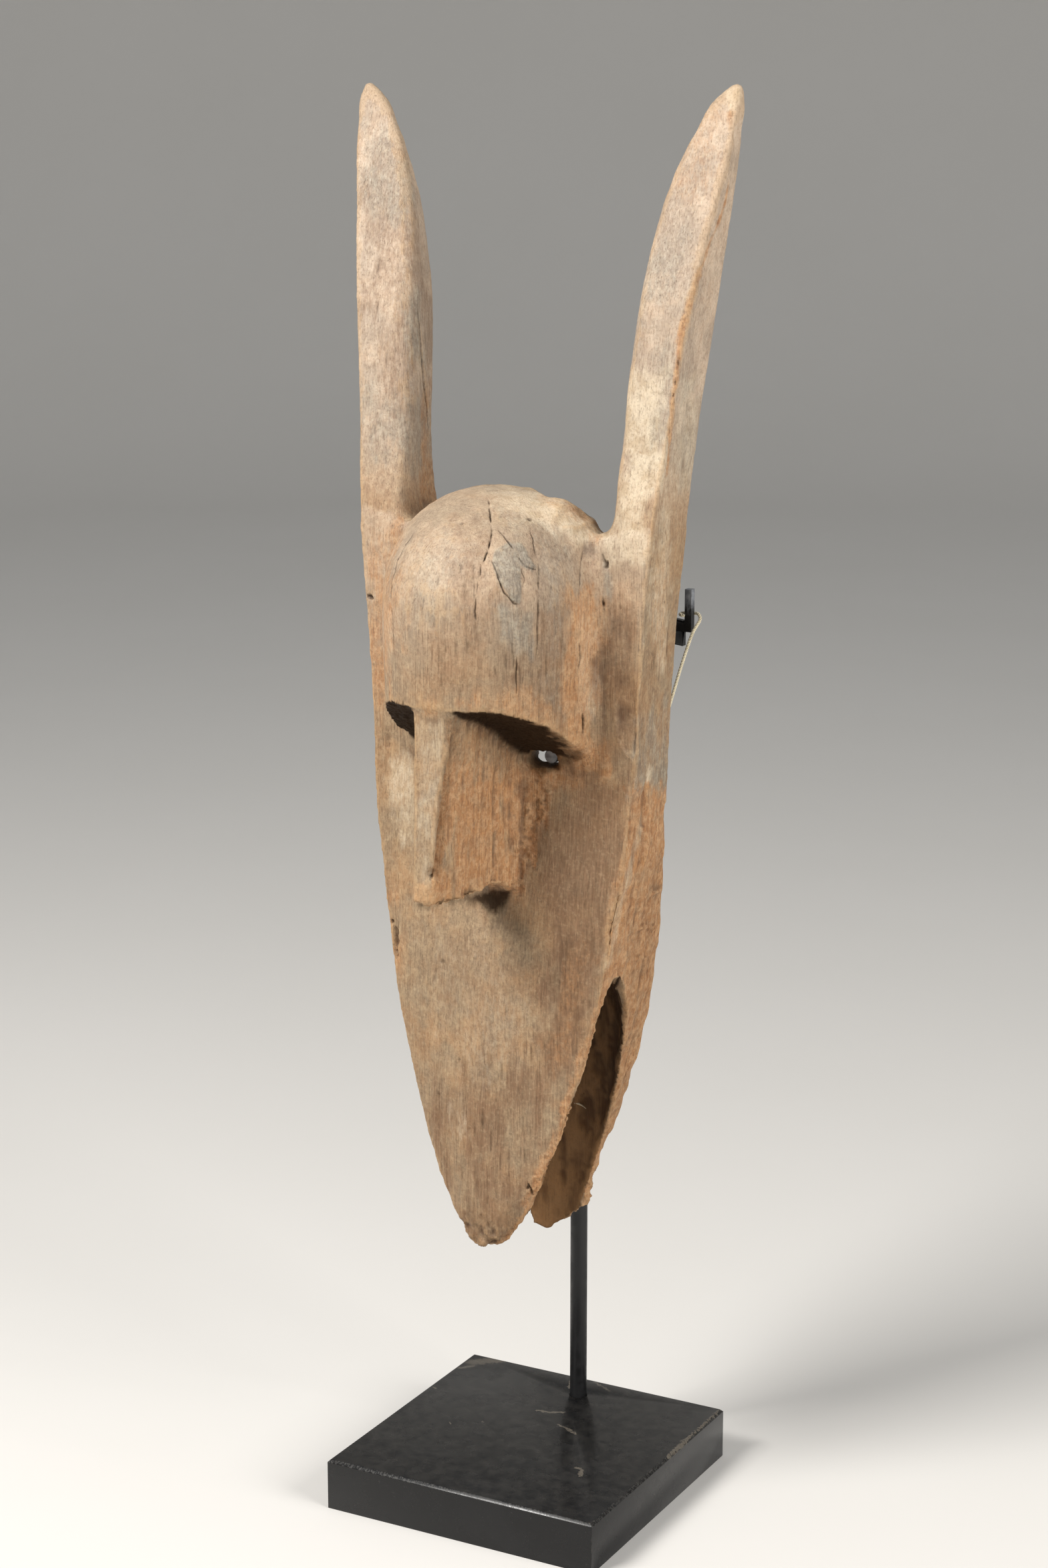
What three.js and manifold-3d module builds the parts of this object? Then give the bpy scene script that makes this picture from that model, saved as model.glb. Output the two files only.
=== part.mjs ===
// A carved wooden hyena mask on its stand: a long snout with a slit mouth, a slab of a nose under a
// domed brow, and two tall ears, held up by a fork through the eye holes and a bar behind the rim.
//
// Millimetres, +Z up. The origin lies under the middle of the stand's base, on the table.
// The mask faces -Y, and +X is on the right of someone who looks it in the face.

import * as THREE from "three";
import { mergeVertices } from "three/addons/utils/BufferGeometryUtils.js";
import Module from "manifold-3d";

const wasm = await Module();
wasm.setup();

// Heights of the mask's landmarks
const CHIN_Z = 166; // tip of the upper jaw
const JAW_TIP_Z = 147; // tip of the lower jaw
const SLIT_TOP_Z = 322; // where the mouth slit ends
const BROW_Z = 480; // front edge of the brow
const DOME_SPRING_Z = 520; // where the forehead starts to round over
const DOME_TOP_Z = 588;
const EAR_FOOT_Z = 566; // floor of the gap between the ears
const EAR_TIP_Z = 795;
const TIP_ROUND = 14; // length of the rounded tip of an ear

// Depths, with the face near Y = -31
const FACE_Y = -31;
const BROW_Y = -108; // front of the forehead
const NOSE_TOP_Y = -105;
const NOSE_TIP_Y = -117;

// Wood thicknesses
const WALL = 14; // side walls of the hollow back
const FACE_WALL = 13;
const DOME_WALL = 19;
const LEAF_WALL = 8; // upper jaw at the mouth
const JAW_RIM = 2.5; // at its edge, thicker further back
const JAW_FLOOR = 8;

// Forehead
const DOME_HALF_WIDTH = 59;
const BROW_HALF_WIDTH = 56.5; // it narrows a little to the brow
const DOME_ROUNDNESS = 2.4; // exponent of its rounded top, 2 for a plain ellipse

// Nose
const NOSE_TOP_HALF = 13;
const NOSE_TIP_HALF = 5;
const NOSE_ROOT_HALF = 16;
const NOSE_BOTTOM_Z = 377;

// Eye holes, in the corner between the brow, the nose and the face
const EYE_X = 26.5;
const EYE_TOP_Z = 447.5; // the mask hangs by this edge
const EYE_WIDTH = 19;
const EYE_HEIGHT = 10;

// Stand
const BASE_SIDE = 170;
const BASE_HEIGHT = 30;
const BASE_CHAMFER = 1.6;
const ROD_RADIUS = 5;
const ROD_Y = 62;
const ROD_SOCKET = 20;
const ROD_TOP_Z = 518;
const FIT = 0.3; // gap between pieces that touch

// Flat bar with upturned ends
const BAR_THICK = 4;
const BAR_BOTTOM_Z = 498;
const BAR_TOP_Z = 512;
const BAR_END_X = 78.5;
const BAR_END_Y = 32;
const HOOK_X = 81.5; // middle of an upturned end
const HOOK_WIDTH = 4;
const HOOK_BOTTOM_Z = 506;
const HOOK_TOP_Z = 529.5;

// Round fork, whose ends are the pegs that carry the mask
const PEG_RADIUS = 4;
const PEG_X = 29.5;
const PEG_Y = -30; // cut end of a peg, in its eye hole
const PEG_Z = EYE_TOP_Z - FIT - PEG_RADIUS;
const FORK_BEND = 16;

// String tie
const CORD_RADIUS = 0.9;
const CORD_HOLE_RADIUS = 1.5;
const CORD_LOOP_RADIUS = 5;

// Anything that cuts right through the mask reaches this far.
const THROUGH = 120;

// Solids

// The smooth curve through a list of [position, value] pairs, as a function of the position.
function curveThrough(knots) {
  const slope = knots.map((knot, i) => {
    const before = knots[Math.max(i - 1, 0)];
    const after = knots[Math.min(i + 1, knots.length - 1)];
    return (after[1] - before[1]) / (after[0] - before[0]);
  });
  return (at) => {
    const clamped = THREE.MathUtils.clamp(at, knots[0][0], knots[knots.length - 1][0]);
    let i = 0;
    while (i < knots.length - 2 && clamped > knots[i + 1][0]) i += 1;
    const span = knots[i + 1][0] - knots[i][0];
    const t = (clamped - knots[i][0]) / span;
    const ease = t * t * (3 - 2 * t);
    const leave = t * (1 - t) * (1 - t) * slope[i] * span;
    const arrive = t * t * (t - 1) * slope[i + 1] * span;
    return knots[i][1] * (1 - ease) + knots[i + 1][1] * ease + leave + arrive;
  };
}

// Evenly spaced positions from first to last.
function spaced(first, last, count) {
  return Array.from({ length: count }, (_, i) => first + ((last - first) * i) / (count - 1));
}

function solidOf(geometry) {
  const bare = geometry.clone();
  bare.deleteAttribute("normal");
  bare.deleteAttribute("uv");
  const merged = mergeVertices(bare, 1e-4);
  return new wasm.Manifold(
    new wasm.Mesh({
      numProp: 3,
      vertProperties: new Float32Array(merged.attributes.position.array),
      triVerts: new Uint32Array(merged.index.array),
    }),
  );
}

function geometryOf(solid) {
  const made = solid.getMesh();
  const geometry = new THREE.BufferGeometry();
  geometry.setAttribute("position", new THREE.BufferAttribute(made.vertProperties, 3));
  geometry.setIndex(new THREE.BufferAttribute(made.triVerts, 1));
  return geometry;
}

// A closed skin over level rings of [x, y] points, each counterclockwise seen from above.
function loft(heights, ringAt) {
  const rings = heights.map((z) => ringAt(z).map(([x, y]) => new THREE.Vector3(x, y, z)));
  const count = rings[0].length;
  const index = [];
  for (let row = 0; row < rings.length - 1; row += 1) {
    for (let i = 0; i < count; i += 1) {
      const a = row * count + i;
      const b = row * count + ((i + 1) % count);
      index.push(a, b, b + count, a, b + count, a + count);
    }
  }
  const top = (rings.length - 1) * count;
  for (const [a, b, c] of THREE.ShapeUtils.triangulateShape(rings[0], []))
    index.push(a, c, b);
  for (const [a, b, c] of THREE.ShapeUtils.triangulateShape(rings[rings.length - 1], []))
    index.push(top + a, top + b, top + c);
  const geometry = new THREE.BufferGeometry().setFromPoints(rings.flat());
  geometry.setIndex(index);
  return solidOf(geometry);
}

// A four-cornered ring with each corner rounded to its own radius, counterclockwise.
function roundedRing(corners, radii, steps = 3) {
  const ring = [];
  corners.forEach((corner, i) => {
    const here = new THREE.Vector2(...corner);
    const before = new THREE.Vector2(...corners[(i + corners.length - 1) % corners.length]);
    const after = new THREE.Vector2(...corners[(i + 1) % corners.length]);
    const towards = (other) => {
      const share = Math.min(radii[i] / here.distanceTo(other), 0.45);
      return here.clone().lerp(other, share);
    };
    const from = towards(before);
    const to = towards(after);
    const bend = new THREE.QuadraticBezierCurve(from, here, to);
    ring.push(...bend.getPoints(steps).map((p) => [p.x, p.y]));
  });
  return ring;
}

// A side view, given as [y, z] points, pushed through from -halfWidth to +halfWidth along X.
function prismAcross(outline, halfWidth) {
  const shape = new THREE.Shape(outline.map(([y, z]) => new THREE.Vector2(y, z)));
  const geometry = new THREE.ExtrudeGeometry(shape, { depth: 2 * halfWidth, bevelEnabled: false });
  // Shape X, Y and depth become world Y, Z and X.
  geometry.applyMatrix4(new THREE.Matrix4().set(0, 0, 1, -halfWidth, 1, 0, 0, 0, 0, 1, 0, 0, 0, 0, 0, 1));
  return solidOf(geometry);
}

// A plan view, given as [x, y] points, raised from one height to another.
function prismUp(outline, bottom, top) {
  const shape = new THREE.Shape(outline.map(([x, y]) => new THREE.Vector2(x, y)));
  const geometry = new THREE.ExtrudeGeometry(shape, { depth: top - bottom, bevelEnabled: false });
  return solidOf(geometry.translate(0, 0, bottom));
}

function cylinder(radius, from, to, sides = 20) {
  const length = from.distanceTo(to);
  const geometry = new THREE.CylinderGeometry(radius, radius, length, sides, 1);
  const along = to.clone().sub(from).normalize();
  geometry.applyQuaternion(new THREE.Quaternion().setFromUnitVectors(new THREE.Vector3(0, 1, 0), along));
  return solidOf(geometry.translate(...from.clone().lerp(to, 0.5).toArray()));
}

// A thick slab that lies on a plane, to cut off what stands above it.
function slabOn(point, normal) {
  const thickness = 60;
  const geometry = new THREE.BoxGeometry(200, 200, thickness).translate(0, 0, thickness / 2);
  const up = new THREE.Vector3(0, 0, 1);
  geometry.applyQuaternion(new THREE.Quaternion().setFromUnitVectors(up, normal.clone().normalize()));
  return solidOf(geometry.translate(...point.toArray()));
}

function tube(curve, radius, sides, steps) {
  const turn = (2 * Math.PI) / sides;
  const section = Array.from({ length: sides }, (_, i) => {
    return new THREE.Vector2(radius * Math.cos(i * turn), radius * Math.sin(i * turn));
  });
  const shape = new THREE.Shape(section);
  return new THREE.ExtrudeGeometry(shape, { extrudePath: curve, steps, bevelEnabled: false });
}

// The mask's outline, by height

const halfWidthAt = curveThrough([
  [CHIN_Z, 8],
  [174, 16],
  [185, 23],
  [206, 33],
  [235, 44.5],
  [264, 53],
  [294, 61],
  [355, 71.5],
  [413, 79],
  [504, 84],
  [563, 88.5],
  [620, 94],
  [677, 99.5],
  [734, 107.5],
  [765, 112],
  [EAR_TIP_Z, 113],
]);

const frontAt = curveThrough([
  [CHIN_Z, -51],
  [206, -47],
  [264, -42],
  [324, -38],
  [384, -34],
  [443, -32],
  [563, FACE_Y],
  [620, -22],
  [677, -14],
  [734, 0],
  [EAR_TIP_Z, 17],
]);

const backAt = curveThrough([
  [JAW_TIP_Z, 38],
  [206, 38],
  [294, 33],
  [355, 25],
  [413, 13],
  [504, 11],
  [563, 14],
  [620, 17],
  [677, 24],
  [734, 24],
  [EAR_TIP_Z, 24],
]);

// How far the middle of the front stands out before its edges.
const bulgeAt = curveThrough([
  [CHIN_Z, 5],
  [206, 7],
  [264, 10],
  [324, 10],
  [384, 5],
  [443, 2],
  [563, 1],
]);

const jawHalfWidthAt = curveThrough([
  [JAW_TIP_Z, 9],
  [150, 14],
  [165, 20.5],
  [185, 26],
  [206, 34.5],
  [235, 46],
  [264, 54],
  [294, 61],
  [340, 69],
]);

// Front edge of the lower jaw's rim, seen from the side.
const rimAt = curveThrough([
  [JAW_TIP_Z, 28],
  [183, 27],
  [206, 24],
  [230, 19.5],
  [250, 14.5],
  [273, 8],
  [298, 0],
  [SLIT_TOP_Z, -14],
]);

// Inner edge of an ear, seen from the front.
const earInnerAt = curveThrough([
  [EAR_FOOT_Z, 62],
  [587, 64.5],
  [628, 66],
  [670, 69],
  [711, 73],
  [738, 78],
  [765, 87],
  [783, 97.5],
  [EAR_TIP_Z, 107],
]);

// Half a ring of the board from the middle of the front to the middle of the back, then its mirror.
function boardRing(z) {
  const half = halfWidthAt(z);
  const front = frontAt(z);
  const back = backAt(z);
  const bulge = bulgeAt(z);
  const steps = 7;
  const right = spaced(0, 1, steps).map((t) => [half * t, front - bulge * (1 - t * t)]);
  right.push([half + 0.6, front + (back - front) * 0.5]);
  right.push([half, back - 2]);
  right.push([half - 2, back]);
  right.push([half * 0.5, back]);
  right.push([0, back]);
  const left = right.slice(1, -1).reverse().map(([x, y]) => [-x, y]);
  return [...right, ...left];
}

// Face, muzzle and side walls in one, from the chin to the foot of the ears
function board() {
  const chin = [CHIN_Z, 169, 173, 179, 186];
  return loft([...chin, ...spaced(196, EAR_FOOT_Z, 31)], boardRing);
}

// Between the ears the top of the board slopes down behind.
function gapFloor() {
  const slope = [
    [FACE_Y - 20, EAR_FOOT_Z + 0.5],
    [FACE_Y, EAR_FOOT_Z],
    [FACE_Y + 60, EAR_FOOT_Z - 11],
    [FACE_Y + 60, EAR_FOOT_Z + 20],
    [FACE_Y - 20, EAR_FOOT_Z + 20],
  ];
  return prismAcross(slope, earInnerAt(EAR_FOOT_Z));
}

function ear(side) {
  const ringAt = (z) => {
    const outer = halfWidthAt(z);
    const inner = earInnerAt(z);
    const front = frontAt(z);
    const back = backAt(z);
    // The section grows rounder over its first 50 mm, and closes in on the tip's own middle at the end.
    const rise = THREE.MathUtils.clamp((z - EAR_FOOT_Z) / 50, 0, 1);
    const left = THREE.MathUtils.clamp((EAR_TIP_Z - z) / TIP_ROUND, 0, 1);
    const size = Math.sqrt(1 - (1 - left) ** 2) * 0.92 + 0.08;
    const middle = [(outer + inner) / 2 + 1.5, (front + back) / 2];
    const corners = [
      [inner - 2.5 * rise, front + 1],
      [outer, front],
      [outer - 0.5, back],
      [inner + 2.5, back],
    ].map(([x, y]) => [middle[0] + (x - middle[0]) * size, middle[1] + (y - middle[1]) * size]);
    const ring = roundedRing(corners, [3 + 8 * rise, 1.5, 3, 3 + 5 * rise]);
    return side > 0 ? ring : ring.map(([x, y]) => [-x, y]).reverse();
  };
  const tip = [10, 6.5, 3.5, 1.4, 0.4, 0].map((below) => EAR_TIP_Z - below);
  return loft([...spaced(EAR_FOOT_Z, EAR_TIP_Z - TIP_ROUND, 16), ...tip], ringAt);
}

// Half of a rounded vault in plan: straight sides behind the face and a half-ellipse before it.
function vaultRing(halfWidth, depth, back) {
  const steps = 20;
  const arc = spaced(Math.PI, 2 * Math.PI, steps).map((angle) => [
    halfWidth * Math.cos(angle),
    FACE_Y + depth * Math.sin(angle),
  ]);
  return [...arc, [halfWidth, back], [-halfWidth, back]];
}

// How wide the vault still is at a height, from 1 at its spring line to nearly 0 at its top.
function domeSize(z, spring, top) {
  const rise = THREE.MathUtils.clamp((z - spring) / (top - spring), 0, 1);
  return Math.max(1 - rise ** DOME_ROUNDNESS, 0.0004) ** (1 / DOME_ROUNDNESS);
}

function forehead() {
  const depth = FACE_Y - BROW_Y;
  const lowest = 440;
  const round = [0, 0.18, 0.34, 0.48, 0.6, 0.7, 0.79, 0.86, 0.92, 0.96, 0.985, 0.997, 1];
  const heights = [lowest, 480, ...round.map((t) => DOME_SPRING_Z + (DOME_TOP_Z - DOME_SPRING_Z) * t)];
  const vault = loft(heights, (z) => {
    const size = domeSize(z, DOME_SPRING_Z, DOME_TOP_Z);
    const low = THREE.MathUtils.clamp((DOME_SPRING_Z - z) / (DOME_SPRING_Z - lowest), 0, 1);
    const half = THREE.MathUtils.lerp(DOME_HALF_WIDTH, BROW_HALF_WIDTH, low);
    return vaultRing(half * size, depth * size, backAt(z) - 0.5);
  });
  // The top slopes down behind, and more so on the worn right shoulder.
  const behind = [
    [FACE_Y + 2, DOME_TOP_Z + 1],
    [FACE_Y + 22, DOME_TOP_Z - 5],
    [FACE_Y + 60, DOME_TOP_Z - 20],
    [FACE_Y + 60, DOME_TOP_Z + 20],
    [FACE_Y + 2, DOME_TOP_Z + 20],
  ];
  // The underside of the brow runs back from its front edge and down to the face.
  const under = [
    [BROW_Y - 10, BROW_Z],
    [-95, BROW_Z - 1],
    [-73, BROW_Z - 10],
    [-50, BROW_Z - 25],
    [FACE_Y - 5, BROW_Z - 33],
    [FACE_Y - 1.5, lowest - 10],
    [BROW_Y - 10, lowest - 10],
  ];
  const shoulder = slabOn(new THREE.Vector3(20, FACE_Y, DOME_TOP_Z), new THREE.Vector3(0.43, 0.39, 0.82));
  return vault
    .subtract(prismAcross(under, THROUGH))
    .subtract(prismAcross(behind, THROUGH))
    .subtract(shoulder);
}

function nose() {
  const across = (z) => THREE.MathUtils.clamp((BROW_Z - z) / (BROW_Z - NOSE_BOTTOM_Z), 0, 1);
  const ringAt = (z) => {
    const down = across(z);
    const front = THREE.MathUtils.lerp(NOSE_TOP_Y, NOSE_TIP_Y, down);
    const half = THREE.MathUtils.lerp(NOSE_TOP_HALF, NOSE_TIP_HALF, down ** 0.75);
    const worn = 3 * down; // the right arris is worn further back
    return roundedRing(
      [
        [-half - 1.5 * down, front],
        [half - 1.5 * down, front + worn],
        [NOSE_ROOT_HALF, FACE_Y + 4],
        [-NOSE_ROOT_HALF, FACE_Y + 4],
      ],
      [1.2, 2 + worn, 1, 1],
      2,
    );
  };
  const slab = loft(spaced(362, 490, 12), ringAt);
  // The underside is cut off nearly level, with a shallow chip out of it near the face.
  const under = [
    [NOSE_TIP_Y - 10, NOSE_BOTTOM_Z + 2],
    [NOSE_TIP_Y + 12, NOSE_BOTTOM_Z - 1],
    [-72, NOSE_BOTTOM_Z - 2],
    [-66, NOSE_BOTTOM_Z],
    [-52, NOSE_BOTTOM_Z - 1],
    [-46, NOSE_BOTTOM_Z - 5],
    [FACE_Y, NOSE_BOTTOM_Z - 8],
    [FACE_Y, 350],
    [NOSE_TIP_Y - 10, 350],
  ];
  return slab.subtract(prismAcross(under, THROUGH));
}

// The open mouth in side view, between the upper jaw's edge and the lower jaw's rim
function mouthSlit() {
  const bottom = JAW_TIP_Z - 10;
  const leafEdge = [
    [-43, bottom],
    [-44, 200],
    [-42, 239],
    [-38, 272],
    [-35, 302],
    [-33, 314],
    [-24, SLIT_TOP_Z],
  ];
  const rimEdge = spaced(SLIT_TOP_Z - 6, bottom, 12).map((z) => [rimAt(z), z]);
  return prismAcross([...leafEdge, [-18, SLIT_TOP_Z - 1], ...rimEdge].reverse(), THROUGH);
}

function lowerJaw() {
  const heights = [JAW_TIP_Z, 149, 152, 158, 165, 175, ...spaced(188, 316, 12)];
  const scoop = loft(heights, (z) => {
    const half = jawHalfWidthAt(z) - 0.4;
    const corners = [
      [-half, rimAt(z)],
      [half, rimAt(z)],
      [half, backAt(z) - 0.4],
      [-half, backAt(z) - 0.4],
    ];
    return roundedRing(corners, [1.5, 1.5, 7, 7]);
  });
  // Its right corner is broken off aslant.
  return scoop.subtract(slabOn(new THREE.Vector3(10, 30, 157), new THREE.Vector3(0.6, 0, -0.8)));
}

// The hollow between the jaws, which runs up into the hollow back
function mouthHollow() {
  const heights = [JAW_TIP_Z - 10, 165, ...spaced(180, 345, 14)];
  return loft(heights, (z) => {
    const thicker = Math.max(0, (z - 300) * 0.3);
    const half = Math.max(jawHalfWidthAt(z) - JAW_RIM - thicker, 7);
    const front = frontAt(Math.max(z, CHIN_Z)) + LEAF_WALL + 3;
    const bow = bulgeAt(z);
    const rim = rimAt(z);
    const floor = backAt(z) - JAW_FLOOR;
    const across = spaced(-1, 1, 9).map((t) => [half * t, front - bow * (1 - t * t)]);
    // From the rim the scoop curves in to the floor, as a quarter of an ellipse on each side.
    const scoop = spaced(0, Math.PI, 11).map((angle) => [
      (half - 1.5) * Math.cos(angle),
      rim + (floor - rim) * Math.sin(angle) ** 0.8,
    ]);
    return [...across, ...scoop];
  });
}

// The hollow back, open behind, where the wearer's face goes
function backHollow() {
  const top = 560;
  const bottom = 330;
  const corner = 16; // radius along its front corners
  const heights = [bottom, bottom + 4, ...spaced(bottom + 12, top - 20, 14), top - 10, top - 4, top];
  return loft(heights, (z) => {
    const edge = Math.min(z - bottom, top - z);
    // Its ends round over into its walls.
    const tuck = Math.max(0, 1 - edge / 20) ** 2 * WALL;
    const half = halfWidthAt(z) - WALL - tuck;
    const front = frontAt(z) + FACE_WALL + tuck;
    const corners = [
      [-half, front],
      [half, front],
      [half, THROUGH / 2],
      [-half, THROUGH / 2],
    ];
    return roundedRing(corners, [corner, corner, 1, 1], 5);
  });
}

function foreheadHollow() {
  const spring = DOME_SPRING_Z - 4;
  const top = DOME_TOP_Z - DOME_WALL;
  const bottom = 462;
  const full = 500; // from here up it has its full width
  const depth = FACE_Y - BROW_Y - DOME_WALL;
  const round = [0, 0.3, 0.55, 0.75, 0.9, 0.98].map((t) => THREE.MathUtils.lerp(spring, top, t));
  return loft([bottom, 470, 482, full, ...round], (z) => {
    const low = THREE.MathUtils.clamp((z - bottom) / (full - bottom), 0, 1);
    const size = domeSize(z, spring, top) * (0.45 + 0.55 * Math.sqrt(low));
    return vaultRing((DOME_HALF_WIDTH - DOME_WALL) * size, depth * size, 0);
  });
}

function eyeHole(side) {
  const corners = [
    [-EYE_WIDTH / 2, -EYE_HEIGHT / 2],
    [EYE_WIDTH / 2, -EYE_HEIGHT / 2],
    [EYE_WIDTH / 2, EYE_HEIGHT / 2],
    [-EYE_WIDTH / 2, EYE_HEIGHT / 2],
  ];
  const ring = roundedRing(corners, [4, 4, 4, 4], 3);
  const shape = new THREE.Shape(ring.map(([x, z]) => new THREE.Vector2(x, z)));
  const length = 60; // from inside the hollow to before the face
  const geometry = new THREE.ExtrudeGeometry(shape, { depth: length, bevelEnabled: false });
  geometry.rotateX(Math.PI / 2);
  return solidOf(geometry.translate(side * EYE_X, FACE_Y + 46, EYE_TOP_Z - EYE_HEIGHT / 2));
}

// The tie, from a small hole in the rim, up behind the wall and once round the hook
const TIE_START = new THREE.Vector3(78, 9, 459);
const HOOK_MIDDLE = new THREE.Vector3(HOOK_X, BAR_END_Y, 515.5);

function tieRoute() {
  const straight = [
    TIE_START,
    new THREE.Vector3(79.8, 14.5, 472),
    new THREE.Vector3(82.6, 21, 490),
    new THREE.Vector3(86, 27.5, 507),
  ];
  const around = [0, 35, 70, 110, 150, 190, 230, 262].map((degrees) => {
    const angle = THREE.MathUtils.degToRad(degrees);
    return new THREE.Vector3(
      HOOK_MIDDLE.x + CORD_LOOP_RADIUS * Math.cos(angle) + (degrees === 0 ? 1.5 : 0),
      HOOK_MIDDLE.y + CORD_LOOP_RADIUS * Math.sin(angle),
      HOOK_MIDDLE.z + (degrees === 0 ? -2 : 0),
    );
  });
  return new THREE.CatmullRomCurve3([...straight, ...around], false, "centripetal");
}

function maskSolid() {
  let mask = board();
  mask = mask.subtract(gapFloor()).add(ear(1)).add(ear(-1));
  mask = mask.subtract(mouthSlit());
  mask = mask.add(lowerJaw());
  mask = mask.add(forehead()).add(nose());
  mask = mask.subtract(mouthHollow()).subtract(backHollow()).subtract(foreheadHollow());
  mask = mask.subtract(eyeHole(1)).subtract(eyeHole(-1));
  // A small hole is drilled for the tie, slanting up and out behind the rim.
  const drillFrom = TIE_START.clone().add(new THREE.Vector3(-0.4, -1, -2.4));
  const drillTo = tieRoute().getPointAt(0.16);
  return mask.subtract(cylinder(CORD_HOLE_RADIUS, drillFrom, drillTo, 10));
}

// The stand

function baseSolid() {
  const half = BASE_SIDE / 2;
  const square = (size) => [
    [-size, -size],
    [size, -size],
    [size, size],
    [-size, size],
  ];
  const block = loft([0, BASE_HEIGHT - BASE_CHAMFER, BASE_HEIGHT], (z) =>
    square(z < BASE_HEIGHT ? half : half - BASE_CHAMFER),
  );
  const socket = cylinder(
    ROD_RADIUS + FIT,
    new THREE.Vector3(0, ROD_Y, BASE_HEIGHT - ROD_SOCKET),
    new THREE.Vector3(0, ROD_Y, BASE_HEIGHT + 5),
    24,
  );
  return block.subtract(socket);
}

function rodGeometry() {
  const bottom = BASE_HEIGHT - ROD_SOCKET + FIT;
  const ease = 1.2; // small bevel round its top
  const profile = [
    [0, bottom],
    [ROD_RADIUS, bottom],
    [ROD_RADIUS, ROD_TOP_Z - ease],
    [ROD_RADIUS - ease, ROD_TOP_Z],
    [0, ROD_TOP_Z],
  ].map(([r, z]) => new THREE.Vector2(r, z));
  return new THREE.LatheGeometry(profile, 24).rotateX(Math.PI / 2).translate(0, ROD_Y, 0);
}

// A flat bar bent round in plan, with its ends turned up into hooks
function barSolid() {
  const middleY = ROD_Y - ROD_RADIUS - FIT - BAR_THICK;
  const front = BAR_END_Y - BAR_THICK / 2;
  const bow = (x) => middleY + (front - middleY) * (Math.abs(x) / BAR_END_X) ** 1.6;
  const xs = spaced(-BAR_END_X, BAR_END_X, 17);
  const near = xs.map((x) => [x, bow(x)]);
  const far = xs.map((x) => [x, bow(x) + BAR_THICK]).reverse();
  let bar = prismUp([...near, ...far], BAR_BOTTOM_Z, BAR_TOP_Z);
  for (const side of [-1, 1]) {
    const box = (fromX, toX, y, depth) => {
      const left = Math.min(side * fromX, side * toX);
      const right = Math.max(side * fromX, side * toX);
      return [
        [left, y],
        [right, y],
        [right, y + depth],
        [left, y + depth],
      ];
    };
    const plan = box(BAR_END_X - 6, HOOK_X + HOOK_WIDTH / 2, front, BAR_THICK);
    const foot = prismUp(plan, HOOK_BOTTOM_Z, BAR_TOP_Z - 1);
    const upright = loft([HOOK_BOTTOM_Z + 1, HOOK_TOP_Z - 2, HOOK_TOP_Z], (z) => {
      const tuck = z === HOOK_TOP_Z ? 0.8 : 0.1;
      const reach = HOOK_WIDTH / 2 - tuck;
      return box(HOOK_X - reach, HOOK_X + reach, front + tuck, BAR_THICK - 2 * tuck);
    });
    bar = bar.add(foot).add(upright);
  }
  return bar;
}

// One round rod bent into a fork, whose two ends reach forward into the eye holes
function forkGeometry() {
  const backY = ROD_Y - ROD_RADIUS - FIT - PEG_RADIUS;
  const path = new THREE.CurvePath();
  const point = (x, y) => new THREE.Vector3(x, y, PEG_Z);
  path.add(new THREE.LineCurve3(point(-PEG_X, PEG_Y), point(-PEG_X, backY - FORK_BEND)));
  path.add(
    new THREE.QuadraticBezierCurve3(
      point(-PEG_X, backY - FORK_BEND),
      point(-PEG_X, backY),
      point(-PEG_X + FORK_BEND, backY),
    ),
  );
  path.add(new THREE.LineCurve3(point(-PEG_X + FORK_BEND, backY), point(PEG_X - FORK_BEND, backY)));
  path.add(
    new THREE.QuadraticBezierCurve3(
      point(PEG_X - FORK_BEND, backY),
      point(PEG_X, backY),
      point(PEG_X, backY - FORK_BEND),
    ),
  );
  path.add(new THREE.LineCurve3(point(PEG_X, backY - FORK_BEND), point(PEG_X, PEG_Y)));
  return tube(path, PEG_RADIUS, 16, 36);
}

// Finishes
const wood = new THREE.MeshStandardMaterial({ color: 0xa98a6a, roughness: 0.85, metalness: 0 });
const lacquer = new THREE.MeshStandardMaterial({ color: 0x0c0c0d, roughness: 0.35, metalness: 0 });
const steel = new THREE.MeshStandardMaterial({ color: 0x151516, roughness: 0.5, metalness: 0.3 });
const string = new THREE.MeshStandardMaterial({ color: 0xd9cda6, roughness: 0.9, metalness: 0 });

function piece(name, geometry, material) {
  const mesh = new THREE.Mesh(geometry, material);
  mesh.name = name;
  return mesh;
}

const mask = new THREE.Group();
mask.add(piece("hyena_mask", geometryOf(maskSolid()), wood));

const stand = new THREE.Group();
stand.add(piece("stand_base", geometryOf(baseSolid()), lacquer));
stand.add(piece("stand_rod", rodGeometry(), steel));
stand.add(piece("cradle_bar", geometryOf(barSolid()), steel));
stand.add(piece("eye_fork", forkGeometry(), steel));

const tie = piece("tie_cord", tube(tieRoute(), CORD_RADIUS, 8, 48), string);

const part = new THREE.Group();
part.add(mask, stand, tie);

export default part;
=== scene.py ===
# %% [markdown]
# # An old carved hyena mask on its stand
#
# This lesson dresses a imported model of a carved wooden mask. The model gives every piece its true place
# and size, in metres, with +Z up and the mask facing -Y. Here each plain solid is exchanged for a worked
# one: split and weathered wood, black lacquer, painted steel and a twisted string.

# %% Load the frame and put every selection away
import itertools
import math
from contextlib import contextmanager

import bpy
import numpy as np
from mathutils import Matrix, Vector
from mathutils.bvhtree import BVHTree
from mathutils.kdtree import KDTree


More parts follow.
